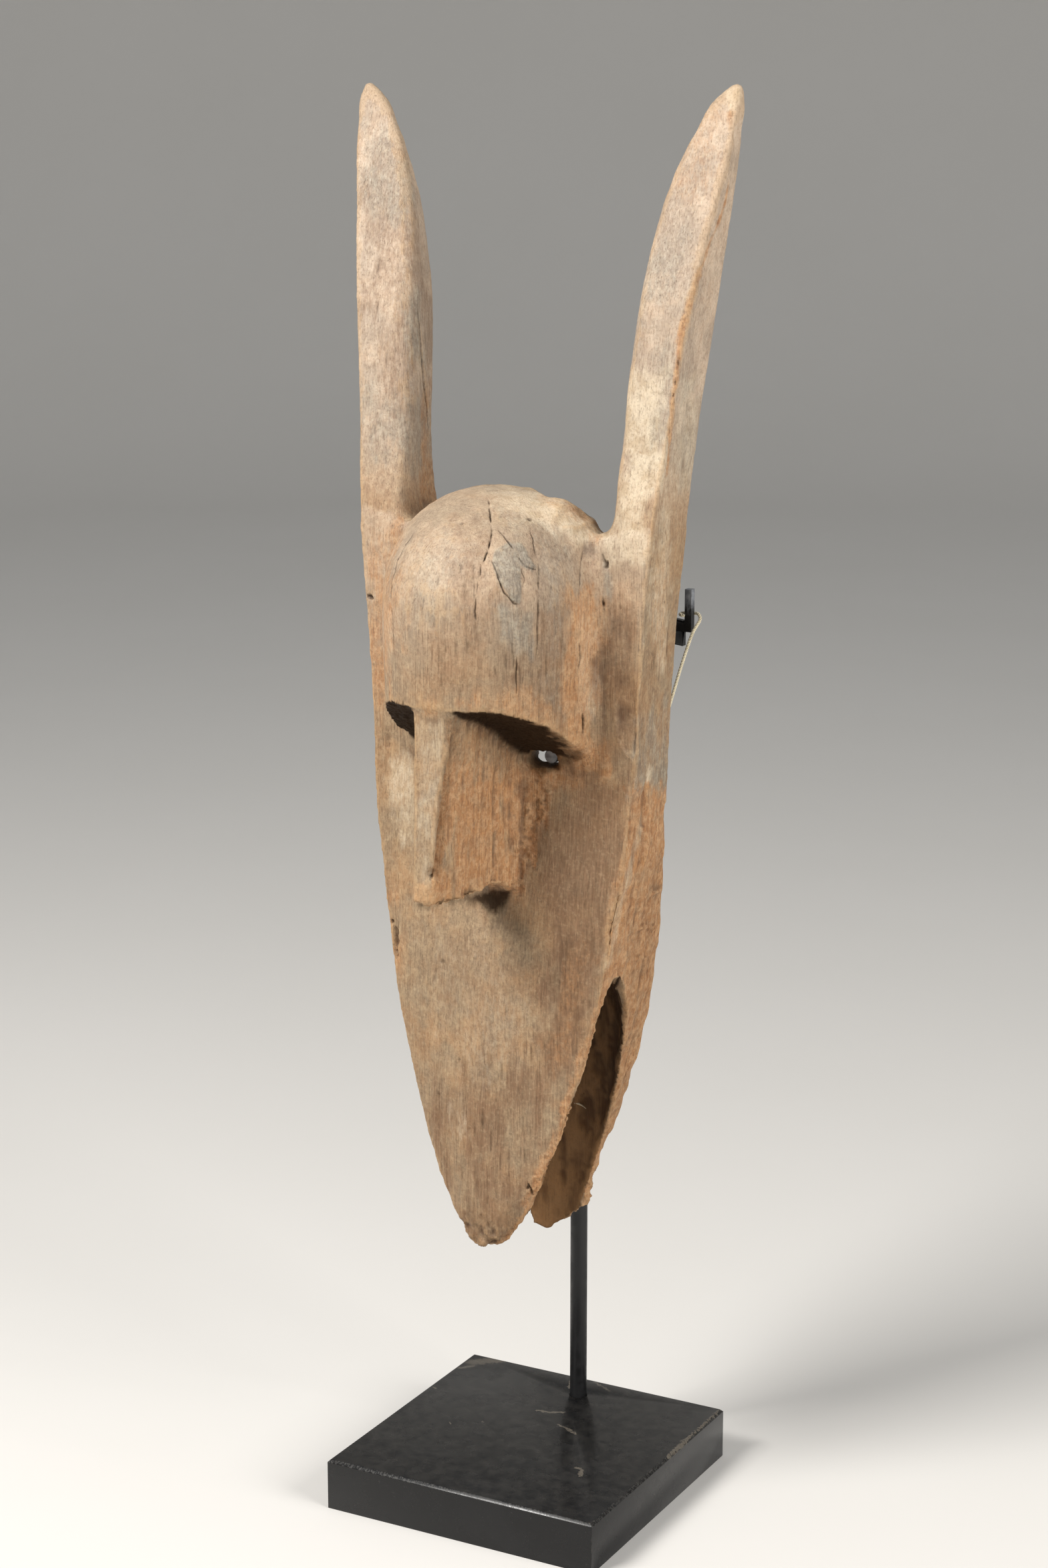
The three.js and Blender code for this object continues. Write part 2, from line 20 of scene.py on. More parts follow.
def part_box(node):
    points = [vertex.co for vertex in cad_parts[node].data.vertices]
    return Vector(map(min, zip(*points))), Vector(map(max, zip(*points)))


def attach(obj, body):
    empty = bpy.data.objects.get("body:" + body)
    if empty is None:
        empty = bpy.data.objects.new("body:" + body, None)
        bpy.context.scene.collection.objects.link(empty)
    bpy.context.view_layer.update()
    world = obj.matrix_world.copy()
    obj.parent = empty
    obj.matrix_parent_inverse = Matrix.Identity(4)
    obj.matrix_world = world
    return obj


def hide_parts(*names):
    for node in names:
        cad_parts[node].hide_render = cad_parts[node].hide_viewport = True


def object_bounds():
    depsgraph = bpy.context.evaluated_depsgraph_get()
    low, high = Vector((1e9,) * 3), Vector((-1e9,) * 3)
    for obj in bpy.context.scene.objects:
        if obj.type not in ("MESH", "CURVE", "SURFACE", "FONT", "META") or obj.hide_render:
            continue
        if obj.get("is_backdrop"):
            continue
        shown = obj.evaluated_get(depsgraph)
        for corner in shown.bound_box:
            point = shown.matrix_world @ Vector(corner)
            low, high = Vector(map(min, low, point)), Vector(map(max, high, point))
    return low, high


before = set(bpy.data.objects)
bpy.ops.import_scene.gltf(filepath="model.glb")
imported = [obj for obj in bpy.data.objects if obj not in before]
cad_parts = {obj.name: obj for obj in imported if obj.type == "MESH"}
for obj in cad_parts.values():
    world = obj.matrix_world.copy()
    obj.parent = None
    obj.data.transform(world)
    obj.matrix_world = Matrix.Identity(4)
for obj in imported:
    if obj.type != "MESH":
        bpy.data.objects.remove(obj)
bpy.ops.object.select_all(action="DESELECT")
MM = 0.001
cad_box = [list(corner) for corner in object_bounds()]
print("the model is", [round((high - low) / MM) for low, high in zip(*cad_box)], "mm")

# %% [markdown]
# ## The camera
#
# The photograph looks down a little, from the right of the mask's middle. A long lens keeps the ears
# from leaning. The camera is placed on a sphere round the point it looks at, from two angles, so that
# it is easy to read where it stands. The lamps are placed in the same way at the end.

# %% Camera
PHOTO_WIDTH = 1568
PHOTO_HEIGHT = 2346
LOOKED_AT = Vector((-0.0033, 0, 0.418))
CAMERA_AZIMUTH = 28.5
CAMERA_ELEVATION = 13.3
CAMERA_DISTANCE = 1.728
LENS = 71.65
SENSOR_WIDTH = 36
FARTHEST_SEEN = 50


def stand_off(add, azimuth, elevation, distance, **choices):
    """Adds a camera or a lamp that looks back at the mask. Azimuth 0 is straight before its face."""
    turn = math.radians(azimuth)
    rise = math.radians(elevation)
    out = Vector((math.sin(turn) * math.cos(rise), -math.cos(turn) * math.cos(rise), math.sin(rise)))
    add(location=LOOKED_AT + out * distance, **choices)
    made = bpy.context.object
    made.rotation_euler = out.to_track_quat("Z", "Y").to_euler()
    return made


camera = stand_off(bpy.ops.object.camera_add, CAMERA_AZIMUTH, CAMERA_ELEVATION, CAMERA_DISTANCE)
camera.name = "photo_camera"
camera.data.lens = LENS
camera.data.sensor_width = SENSOR_WIDTH
camera.data.clip_end = FARTHEST_SEEN
bpy.context.scene.camera = camera
print("camera at", [round(x, 3) for x in camera.location])

# %% [markdown]
# ## Small helpers
#
# An operator works on all that is selected, so each piece is selected alone before it is worked. Edit mode
# is entered and left by one helper, so that no step can forget to leave it. A finished piece keeps its
# place in its mesh, with its object at the origin, and is then hung on the body it rides on, while the
# solid it stands for is hidden. Its finish is given at the end.


# %% Helpers for selecting and editing
def alone(piece):
    bpy.ops.object.select_all(action="DESELECT")
    piece.select_set(True)
    bpy.context.view_layer.objects.active = piece


@contextmanager
def editing(piece):
    """Edit mode on one piece, for as long as the with block lasts."""
    alone(piece)
    bpy.ops.object.mode_set(mode="EDIT")
    yield
    bpy.ops.object.mode_set(mode="OBJECT")


def select_none(piece, kind):
    """Leaves nothing of a piece selected, so that its points, edges or faces can be chosen in code."""
    with editing(piece):
        bpy.ops.mesh.select_mode(type=kind)
        bpy.ops.mesh.select_all(action="DESELECT")


def select_faces(piece, wanted):
    """Selects just the faces whose middle and normal the test wants."""
    select_none(piece, "FACE")
    for face in piece.data.polygons:
        face.select = wanted(face.center, face.normal)


def merge_doubles(piece, threshold, outwards=False):
    """Merges doubled points, and turns every face outwards if that is asked."""
    with editing(piece):
        bpy.ops.mesh.select_all(action="SELECT")
        bpy.ops.mesh.remove_doubles(threshold=threshold)
        if outwards:
            bpy.ops.mesh.normals_make_consistent(inside=False)


# %% Helpers for pieces
DOUBLED = 1e-6


def new_piece(name, mesh):
    piece = bpy.data.objects.new(name, mesh)
    bpy.context.scene.collection.objects.link(piece)
    return piece


def settled(piece):
    """Puts a piece's place, turn and size into its mesh."""
    alone(piece)
    bpy.ops.object.transform_apply(location=True, rotation=True, scale=True)
    return piece


def newest(name, scale=(1, 1, 1)):
    """The primitive that was just added, brought to size and named."""
    piece = bpy.context.object
    piece.name = name
    piece.scale = scale
    return settled(piece)


def apply_modifier(piece, kind, **settings):
    alone(piece)
    modifier = piece.modifiers.new(kind.lower(), kind)
    for name, value in settings.items():
        setattr(modifier, name, value)
    bpy.ops.object.modifier_apply(modifier=modifier.name)


def combine(piece, other, operation):
    """Unites a piece with another solid or takes the other out of it. The other is used up."""
    apply_modifier(piece, "BOOLEAN", operation=operation, object=other, solver="EXACT")
    bpy.data.objects.remove(other)


def soften_edges(piece, width, segments, sharper_than):
    """Rounds the edges that turn by more than an angle in radians."""
    limits = {"limit_method": "ANGLE", "angle_limit": sharper_than}
    apply_modifier(piece, "BEVEL", width=width, segments=segments, **limits)


def shade_round(piece, degrees):
    """Shades a piece smooth, but for the edges that turn by more than an angle."""
    alone(piece)
    bpy.ops.object.shade_smooth_by_angle(angle=math.radians(degrees))


def join(pieces, name):
    """Joins pieces into the first of them."""
    alone(pieces[0])
    for other in pieces[1:]:
        other.select_set(True)
    bpy.ops.object.join()
    pieces[0].name = name
    return pieces[0]


def triangles(piece):
    return sum(len(face.vertices) - 2 for face in piece.data.polygons)


def stands_for(piece, node):
    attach(piece, "root")
    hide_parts(node)
    print(piece.name, "has", triangles(piece), "triangles")


# %% [markdown]
# ## The string tie
#
# A short cream string comes out of a small hole behind the mask's rim, runs up to the right-hand hook
# of the stand and turns once round it. A real string is three plies twisted together, and close up the
# twist is what one sees. So the route is drawn first, as one smooth curve, and three thin tubes are
# then wound round it.

# %% Route of the tie, taken from the model
TIE_DIAMETER = 1.8 * MM
HOOK_MIDDLE = Vector((81.5, 32, 515.5)) * MM
LOOP_RADIUS = 5 * MM
TIE_KNOTS = [
    (78, 9, 459),
    (79.8, 14.5, 472),
    (82.6, 21, 490),
    (86, 27.5, 507),
    (88, 32, 513.5),
]
LOOP_TURNS = (35, 70, 110, 150, 190, 230, 262)
WOUND_STEPS = 40

tie_points = [Vector(knot) * MM for knot in TIE_KNOTS]
for degrees in LOOP_TURNS:
    angle = math.radians(degrees)
    tie_points.append(HOOK_MIDDLE + LOOP_RADIUS * Vector((math.cos(angle), math.sin(angle), 0)))


def smooth_route(points, steps):
    """A centripetal curve through the points, as an array with the ends included."""
    knots = [points[0] * 2 - points[1], *points, points[-1] * 2 - points[-2]]
    route = []
    for before, start, end, after in zip(knots, knots[1:], knots[2:], knots[3:]):
        stretches = ((before, start), (start, end), (end, after))
        times = [0.0]
        for a, b in stretches:
            times.append(times[-1] + math.sqrt((b - a).length))
        for step in range(steps):
            t = times[1] + (times[2] - times[1]) * step / steps
            line = []
            for (a, b), (t0, t1) in zip(stretches, zip(times, times[1:])):
                line.append(a.lerp(b, (t - t0) / (t1 - t0)))
            inner = line[0].lerp(line[1], (t - times[0]) / (times[2] - times[0]))
            outer = line[1].lerp(line[2], (t - times[1]) / (times[3] - times[1]))
            route.append(inner.lerp(outer, (t - times[1]) / (times[2] - times[1])))
    route.append(points[-1])
    return np.array(route)


# %% [markdown]
# A tube needs a frame that doesn't spin as it follows its path. Each ring's first direction is the last
# one's, made square to the path again, which is called parallel transport.

# %% Tube round a path
FIRST_SIDE = (0.3, 0.9, 0.1)
TUBE_EDGES = 8


def frames_along(path):
    """Two directions square to the path at each of its points, without twist."""
    along = np.gradient(path, axis=0)
    along /= np.linalg.norm(along, axis=1)[:, None]
    side = np.cross(along[0], FIRST_SIDE)
    sides = []
    for direction in along:
        side = side - direction * (side @ direction)
        side = side / np.linalg.norm(side)
        sides.append(side)
    sides = np.array(sides)
    return sides, np.cross(along, sides)


def tube(name, path, radii):
    """A closed tube along the path, with a flat end at each end of it."""
    sides, ups = frames_along(path)
    turns = np.arange(TUBE_EDGES) * 2 * math.pi / TUBE_EDGES
    rings = []
    for centre, side, up, radius in zip(path, sides, ups, radii):
        rings.append(centre + radius * (np.cos(turns)[:, None] * side + np.sin(turns)[:, None] * up))
    points = np.concatenate(rings)
    faces = []
    for ring in range(len(path) - 1):
        for i in range(TUBE_EDGES):
            a = ring * TUBE_EDGES + i
            b = ring * TUBE_EDGES + (i + 1) % TUBE_EDGES
            faces.append((a, b, b + TUBE_EDGES, a + TUBE_EDGES))
    faces.append(tuple(range(TUBE_EDGES))[::-1])
    faces.append(tuple(range(len(points) - TUBE_EDGES, len(points))))
    mesh = bpy.data.meshes.new(name)
    mesh.from_pydata(points.tolist(), [], faces)
    return new_piece(name, mesh)


# %% Three plies twisted into the tie
PLIES = 3
PLY_PITCH = 5.2 * MM
PLY_RADIUS = TIE_DIAMETER / 2 / (1 + 2 / math.sqrt(3))
PLY_OFFSET = TIE_DIAMETER / 2 - PLY_RADIUS
PLY_PRESSED = 1.12
PLY_END_SHARE = 0.35

fine_route = smooth_route(tie_points, WOUND_STEPS)
route_sides, route_ups = frames_along(fine_route)
steps = np.linalg.norm(np.diff(fine_route, axis=0), axis=1)
travelled = np.concatenate([[0], np.cumsum(steps)])
plies = []
for ply in range(PLIES):
    turn = 2 * math.pi * (travelled / PLY_PITCH + ply / PLIES)
    wound = np.cos(turn)[:, None] * route_sides + np.sin(turn)[:, None] * route_ups
    ends = np.minimum(travelled, travelled[-1] - travelled) / TIE_DIAMETER
    thickness = PLY_RADIUS * PLY_PRESSED * np.clip(PLY_END_SHARE + ends, 0, 1)
    plies.append(tube(f"ply_{ply}", fine_route + PLY_OFFSET * wound, thickness))
twisted_tie = join(plies, "twisted_tie")
merge_doubles(twisted_tie, DOUBLED, outwards=True)
stands_for(twisted_tie, "tie_cord")

# %% [markdown]
# ## Reading places off the photograph
#
# Cracks, pits and stains have no round numbers. Each is read off the photograph as a pixel, and a ray
# is thrown from the camera through that pixel onto the wood, so that the mark lies on the surface from
# whichever side it is seen. A pixel just off the edge is moved towards the middle until it hits.

# %% Throw a pixel onto the wood
FOCAL_PIXELS = camera.data.lens / camera.data.sensor_width * PHOTO_HEIGHT
MOST_TRIES = 12
STEP_INWARDS = 2

mask_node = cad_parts["hyena_mask"]
mask_tree = BVHTree.FromPolygons(
    [vertex.co for vertex in mask_node.data.vertices],
    [tuple(face.vertices) for face in mask_node.data.polygons],
)


def sight(px, py):
    """The direction in which the camera sees a pixel."""
    aim = Vector((px - PHOTO_WIDTH / 2, PHOTO_HEIGHT / 2 - py, -FOCAL_PIXELS))
    aim.rotate(camera.rotation_euler)
    return aim


def on_wood(px, py):
    """The point of the wood at a pixel, or the nearest beside it towards the middle."""
    for _ in range(MOST_TRIES):
        place = mask_tree.ray_cast(camera.location, sight(px, py).normalized())[0]
        if place is not None:
            return np.array(place)
        px += STEP_INWARDS if px < PHOTO_WIDTH / 2 else -STEP_INWARDS
    raise ValueError(f"pixel {px}, {py} misses the wood")


def line_on_wood(pixels):
    return np.array([on_wood(px, py) for px, py in pixels])


# %% [markdown]
# ## The wood block
#
# The mask is one block of wood. Its solid has flat facets, and carving needs an even skin of small
# faces to work in. A voxel remesh gives that skin, and a few rounds of smoothing take the facets out
# and leave the arrises a little soft, as handled wood has them.

# %% Copy the solid and give it an even skin
SKIN = 1.0 * MM
FACET_DOUBLED = 1e-5
SMOOTHING = 0.5
SMOOTHING_ROUNDS = 5

carved_mask = new_piece("carved_mask", mask_node.data.copy())
merge_doubles(carved_mask, FACET_DOUBLED)
apply_modifier(carved_mask, "REMESH", mode="VOXEL", voxel_size=SKIN)
apply_modifier(carved_mask, "SMOOTH", factor=SMOOTHING, iterations=SMOOTHING_ROUNDS)
print("the skin has", len(carved_mask.data.polygons), "faces")

# %% [markdown]
# Carving moves points in code. The points and their normals are held in arrays, and each kind of mark
# is a function that moves them. Unevenness comes from lattice noise: random values on a grid, blended
# smoothly between its corners. Stretching the grid upwards gives the long fibres of split wood.


# %% Arrays of a piece's mesh
def floats_of(items, name):
    """An array of three numbers for each item of a mesh."""
    flat = np.empty(len(items) * 3, np.float32)
    items.foreach_get(name, flat)
    return flat.reshape(-1, 3).astype(float)


def points_of(piece):
    return floats_of(piece.data.vertices, "co")


def normals_of(piece):
    return floats_of(piece.data.vertex_normals, "vector")


def put_points(piece, points):
    piece.data.vertices.foreach_set("co", points.astype(np.float32).ravel())
    piece.data.update()


# %% Noise
FAR_CORNER = 1000
LATTICE_PRIMES = (73856093, 19349663, 83492791, 374761393)
MIXING_PRIME = 1274126177
NOISE_GAIN = 1.7


def noise(points, cell, seed):
    """Smooth noise from -1 to 1, with bumps about one cell across. A cell is a size or three."""
    place = points / np.array(cell, float) + FAR_CORNER
    corner = np.floor(place).astype(np.int64)
    part = place - corner
    part = part * part * (3 - 2 * part)
    total = np.zeros(len(points))
    for step in itertools.product((0, 1), repeat=3):
        mixed = seed * LATTICE_PRIMES[3]
        for axis, prime in zip((corner + step).T, LATTICE_PRIMES):
            mixed = mixed ^ (axis * prime)
        mixed = ((mixed ^ (mixed >> 13)) * MIXING_PRIME) & 0x7FFFFFFF
        value = ((mixed ^ (mixed >> 16)) & 0xFFFF) / 32767.5 - 1
        total += value * np.prod(np.where(step, part, 1 - part), axis=1)
    return np.clip(NOISE_GAIN * total, -1, 1)


def smoothstep(low, high, value):
    share = np.clip((value - low) / (high - low), 0, 1)
    return share * share * (3 - 2 * share)


# %% [markdown]
# A crack, a gouge or a worn ridge follows a line, and a pit or a stain sits at a point. Both need the
# distance from every point of the skin.

# %% Distances
LINE_REACH = 30 * MM
FAR_AWAY = 1e9


def off_line(points, line):
    """Distance from each point to a line of points, and how far along it the nearest place is."""
    nearest = np.full(len(points), FAR_AWAY)
    along = np.zeros(len(points))
    near = np.all((points > line.min(0) - LINE_REACH) & (points < line.max(0) + LINE_REACH), axis=1)
    close = points[near]
    best = np.full(len(close), FAR_AWAY)
    best_along = np.zeros(len(close))
    for i, (start, end) in enumerate(zip(line, line[1:])):
        step = end - start
        t = np.clip((close - start) @ step / (step @ step), 0, 1)
        far = np.linalg.norm(close - start - t[:, None] * step, axis=1)
        closer = far < best
        best[closer] = far[closer]
        best_along[closer] = (i + t[closer]) / (len(line) - 1)
    nearest[near] = best
    along[near] = best_along
    return nearest, along


def ball(points, centre, radius):
    """A mask that is 1 at a centre in millimetres and fades out at a radius."""
    away = np.linalg.norm((points - np.array(centre) * MM) / (np.array(radius, float) * MM), axis=1)
    return smoothstep(1, 0.35, away)


# %% [markdown]
# ### Soft corners
#
# No corner of old carving is crisp on its inside: dirt and a blunt gouge leave a fillet there. Each point
# is drawn towards the mean of its neighbours, many times over, but only where the surface is hollow or
# where the photograph shows a worn place. Then two parts swell a little: the worn right shoulder of the
# forehead, and the ears with their round tips, which the even skin has thinned.

# %% Relaxing the skin
PULL = 0.7


def edges_of(piece):
    flat = np.empty(len(piece.data.edges) * 2, np.int64)
    piece.data.edges.foreach_get("vertices", flat)
    return flat.reshape(-1, 2)


def neighbour_mean(values, edges):
    """The mean of each point's neighbours, column by column."""
    size = len(values)
    counts = np.bincount(edges.ravel(), minlength=size)
    columns = []
    for column in values.T:
        total = np.bincount(edges[:, 0], column[edges[:, 1]], size)
        total += np.bincount(edges[:, 1], column[edges[:, 0]], size)
        columns.append(total / counts)
    return np.stack(columns, axis=1)


def relaxed(points, edges, weight, rounds):
    for _ in range(rounds):
        points = points + (PULL * weight)[:, None] * (neighbour_mean(points, edges) - points)
    return points


def standing_out(points, normals, edges, rounds):
    """How far each point stands out of its surroundings, in metres along its normal."""
    return np.sum((points - relaxed(points, edges, np.ones(len(points)), rounds)) * normals, axis=1)


# %% Hollow corners and worn places, in millimetres
CORNER_ROUNDS = 20
CORNER_DEPTHS = (0.08, 0.35)
SPREAD_ROUNDS = 6
SPREAD_KEEPS = 0.97
RELAX_ROUNDS = 90
FACE_FRONT = -8
JAW_TOP = 330
EAR_FEET = 566
WORN_PLACES = {
    "right_ear_foot": ((63, -24, 570), (14, 26, 24)),
    "left_ear_foot": ((-63, -24, 570), (14, 26, 24)),
    "right_end_of_brow": ((57, -42, 446), (13, 16, 13)),
    "left_end_of_brow": ((-57, -42, 446), (8, 12, 8)),
    "left_ear": ((-67, -27, 665), (27, 24, 150)),
    "right_of_forehead": ((57, -50, 530), (10, 22, 40)),
}

points = points_of(carved_mask)
normals = normals_of(carved_mask)
edges = edges_of(carved_mask)
across, front, height = points.T / MM
sunk = -standing_out(points, normals, edges, CORNER_ROUNDS)
weight = smoothstep(CORNER_DEPTHS[0] * MM, CORNER_DEPTHS[1] * MM, sunk)
for _ in range(SPREAD_ROUNDS):
    weight = np.maximum(weight, SPREAD_KEEPS * neighbour_mean(weight[:, None], edges)[:, 0])
carved_outside = (front < FACE_FRONT) * (height > JAW_TOP) + (height > EAR_FEET)
weight *= np.clip(carved_outside, 0, 1)
for centre, radius in WORN_PLACES.values():
    weight = np.maximum(weight, ball(points, centre, radius))
points = relaxed(points, edges, weight, RELAX_ROUNDS)
put_points(carved_mask, points)
normals = normals_of(carved_mask)
print("relaxed", int((weight > 0.5).sum()), "points")

# %% Swollen shoulder and ears, in millimetres
SHOULDER = ((42, -28, 574), (20, 30, 22))
SHOULDER_LOW = 548
SHOULDER_EDGE = (58, 52)
SHOULDER_SWELLS = 4.5
EAR_TIPS = (772, 788)
EAR_TIP_SWELLS = 1.4
EARS = (600, 700)
EARS_SWELL = 0.7

shoulder = ball(points, *SHOULDER) * (height > SHOULDER_LOW) * smoothstep(*SHOULDER_EDGE, across)
shoulder *= normals[:, 0] + normals[:, 2] > 0.2
swelling = SHOULDER_SWELLS * shoulder
swelling += EAR_TIP_SWELLS * smoothstep(*EAR_TIPS, height) + EARS_SWELL * smoothstep(*EARS, height)
points += normals * (swelling * MM)[:, None]
put_points(carved_mask, points)
print("swollen by up to", round(swelling.max(), 1), "mm")

# %% [markdown]
# ### What the marks are
#
# The splits run with the grain, because old wood dries and opens along its fibres. Each is a line of
# pixels with a width and a depth in millimetres. The finest get more faces first: a groove narrower
# than the skin's faces would vanish.

# %% Splits: pixels, width and depth in millimetres, and how dark
SPLITS = {
    "forehead_left": (
        [(726, 738), (731, 752), (734, 775), (735, 800), (730, 825), (721, 845), (716, 868), (711, 889)],
        0.7, 1.5, 0.75,
    ),
    "forehead_middle": (
        [(797, 807), (802, 826), (806, 845), (806, 884), (805, 933), (802, 990)],
        0.7, 1.3, 0.75,
    ),
    "forehead_left_low": ([(711, 893), (710, 915), (713, 930)], 0.7, 1.0, 0.6),
    "forehead_low": ([(773, 979), (772, 1010), (773, 1039)], 0.6, 0.8, 0.8),
    "forehead_right": ([(872, 800), (868, 850), (866, 905)], 0.6, 0.6, 0.6),
    "forehead_edge": ([(866, 950), (869, 985), (866, 1010)], 0.7, 1.0, 0.6),
    "forehead_rim": (
        [(650, 762), (615, 803), (595, 840), (586, 880), (588, 930), (590, 1000)],
        1.0, 1.3, 0.7,
    ),
    "flake_high": ([(746, 793), (761, 812), (776, 835), (786, 848), (803, 853)], 0.75, 1.2, 0.8),
    "flake_top": ([(791, 789), (799, 808), (803, 830), (805, 850)], 0.65, 0.9, 0.7),
    "flake_low": ([(735, 838), (742, 855), (754, 887), (768, 903), (780, 906)], 0.7, 1.0, 0.8),
    "flake_right": ([(781, 850), (784, 868), (781, 886)], 0.5, 0.5, 0.8),
    "valley": ([(901, 828), (905, 838), (911, 851)], 1.2, 1.3, 0.5),
    "valley_low": ([(904, 868), (902, 890), (905, 915)], 1.0, 1.2, 0.4),
    "left_ear": ([(623, 455), (628, 500), (631, 538), (634, 570), (638, 601), (642, 640)], 1.6, 3.0, 1.0),
    "cheek_slit": ([(873, 1066), (874, 1080), (873, 1098)], 1.3, 3.0, 1.0),
    "mouth_top": ([(914, 1486), (921, 1475), (928, 1460)], 1.3, 2.2, 0.7),
    "chin_split": ([(790, 1770), (793, 1780), (796, 1790)], 1.2, 2.0, 0.7),
    "right_wall": ([(952, 1085), (950, 1110), (950, 1130)], 0.7, 0.7, 0.5),
    "right_wall_high": ([(978, 900), (976, 950), (975, 1010)], 0.7, 0.9, 0.5),
}

# %% Pits: a pixel, half width, half height, depth and how dark
PITS = {
    "by_the_ear": (908, 845, 1.8, 2.3, 2.0, 0.5),
    "valley_middle": (888, 868, 1.4, 2.4, 1.0, 0.4),
    "valley_low": (903, 903, 1.3, 1.6, 1.0, 0.5),
    "shoulder": (857, 777, 1.6, 1.6, 0.9, 0.3),
    "forehead_top": (793, 776, 1.8, 1.3, 0.9, 0.6),
    "forehead_top_left": (780, 774, 1.2, 1.0, 0.6, 0.5),
    "forehead_left": (691, 784, 1.2, 1.1, 0.6, 0.4),
    "nose_edge": (650, 1309, 3.2, 3.4, 3.0, 1.0),
    "muzzle_high": (662, 1438, 2.0, 1.6, 0.5, 0.4),
    "muzzle_low": (655, 1637, 1.6, 2.2, 0.8, 0.3),
    "muzzle_middle": (686, 1585, 1.3, 1.6, 0.6, 0.3),
    "chin_hole": (790, 1777, 1.2, 1.6, 2.0, 0.7),
    "chin_low": (713, 1833, 1.1, 1.6, 1.0, 0.5),
    "ear_tip": (1095, 172, 2.2, 1.6, 1.3, 0.4),
    "ear_arris_high": (1024, 470, 1.3, 2.2, 1.0, 0.6),
    "ear_arris_middle": (1016, 540, 1.2, 4.0, 1.2, 0.6),
    "ear_arris_low": (1010, 572, 1.1, 1.6, 1.2, 0.8),
    "ear_arris_lowest": (1008, 592, 1.3, 1.6, 1.4, 0.8),
    "brow_end": (582, 1036, 1.6, 2.0, 1.0, 0.7),
    "left_cheek": (580, 1104, 2.4, 7.5, 0.8, 0.2),
    "left_notch": (553, 893, 2.6, 1.8, 2.2, 0.7),
    "left_gouge": (592, 1405, 2.6, 13.0, 3.0, 0.25),
    "left_gouge_high": (586, 1378, 1.2, 1.6, 1.5, 0.8),
}

# %% Ridges and grooves: pixels, width, and height or depth
RIDGES = {
    "outer": ([(991, 760), (994, 840), (993, 900), (991, 950), (987, 1000)], 1.8, 1.1),
    "arris": ([(971, 901), (963, 968), (959, 1006), (955, 1050), (953, 1127), (950, 1177)], 1.7, 1.2),
    "cheek": ([(917, 1014), (919, 1073), (925, 1110), (938, 1131), (950, 1140)], 1.5, 0.9),
    "arris_lip": ([(944, 1182), (937, 1255), (927, 1303), (914, 1339), (907, 1371), (900, 1425)], 1.8, 0.7),
    "broken": ([(952, 1224), (966, 1249), (969, 1264), (963, 1280), (961, 1320)], 2.4, 1.3),
    "broken_low": ([(940, 1340), (935, 1380), (928, 1420)], 2.4, 1.1),
    "broken_step": ([(994, 1328), (985, 1334), (970, 1340)], 1.8, 1.2),
    "broken_step_middle": ([(987, 1390), (968, 1387), (950, 1392)], 1.6, 1.1),
    "broken_step_low": ([(978, 1426), (962, 1432), (948, 1436)], 1.5, 1.0),
    "muzzle": ([(618, 1420), (632, 1520), (648, 1620)], 3.0, 0.5),
    "forehead": ([(692, 900), (694, 960), (690, 1020)], 2.4, 0.4),
}
GROOVES = {
    "channel": ([(924, 850), (930, 950), (934, 1050), (938, 1130)], 11.0, 1.7),
    "between_ridges": ([(979, 850), (977, 930), (974, 1010)], 3.0, 0.9),
    "beside_outer": ([(1003, 860), (1001, 930), (998, 1010)], 3.0, 0.6),
    "ear": ([(1034, 560), (1026, 660), (1019, 760)], 4.5, 0.8),
    "brow_scratch": ([(652, 1026), (680, 1025), (708, 1028)], 0.9, 0.35),
    "cheek_scratch": ([(905, 1130), (930, 1175), (948, 1215)], 1.5, 0.35),
    "cheek_scratch_low": ([(870, 1190), (893, 1240), (905, 1290)], 1.3, 0.3),
}

# %% Give the splits more faces
REFINE_REACH = 2.5 * MM

split_lines = {name: line_on_wood(pixels) for name, (pixels, *_) in SPLITS.items()}


def refine_near(piece, lines, reach):
    """Cuts the faces within reach of any line into four."""
    places = points_of(piece)
    wanted = np.zeros(len(places), bool)
    for line in lines:
        wanted |= off_line(places, line)[0] < reach
    select_none(piece, "VERT")
    piece.data.vertices.foreach_set("select", wanted)
    with editing(piece):
        bpy.ops.mesh.subdivide(number_cuts=1)


refine_near(carved_mask, split_lines.values(), REFINE_REACH)
points = points_of(carved_mask)
normals = normals_of(carved_mask)
print("the refined skin has", len(points), "points")

# %% [markdown]
# ### Where the wood differs
#
# The same block wears in different ways. Handled places are pale and smooth, broken ones show raw orange
# wood, weathered ones go grey, and the hollows get painted shade. Each of these is a number from 0 to 1 at
# every point, kept as an attribute, and the finish reads it later. Places are found by limits in
# millimetres: across, from front to back, and in height.

# %% Limits of places
BACK_HOLLOW = ((-74, 74), (-24, math.inf), (328, 563))
BACK_MIDDLE = (0, 25, 450)
BACK_FACING = 0.12
FOREHEAD_HOLLOW = ((-44, 44), (-92, -12), (461, 572))
FOREHEAD_MIDDLE = (0, -30, 512)
FOREHEAD_FACING = 0.05
MOUTH_HEIGHTS = (147, 206, 264, 345)
MOUTH_HALF_WIDTHS = (12, 33, 53, 66)
MOUTH_FRONTS = (-44, -46, -42, -34)
MOUTH_TOP = 346
MOUTH_MIDDLE_FRONTS = (-5, -2)
MOUTH_FACING = 0.002

across, front, height = points.T / MM
facing_right = normals[:, 0]
facing_front = -normals[:, 1]
facing_up = normals[:, 2]


def within(limits):
    """Which points lie within limits across, from front to back and in height."""
    kept = np.ones(len(points), bool)
    for values, (low, high) in zip((across, front, height), limits):
        kept &= (values > low) & (values < high)
    return kept


def facing_towards(middle):
    """How much the surface looks at a place given in millimetres."""
    towards = np.array(middle) * MM - points
    return np.sum(towards * normals, axis=1) / np.linalg.norm(towards, axis=1)


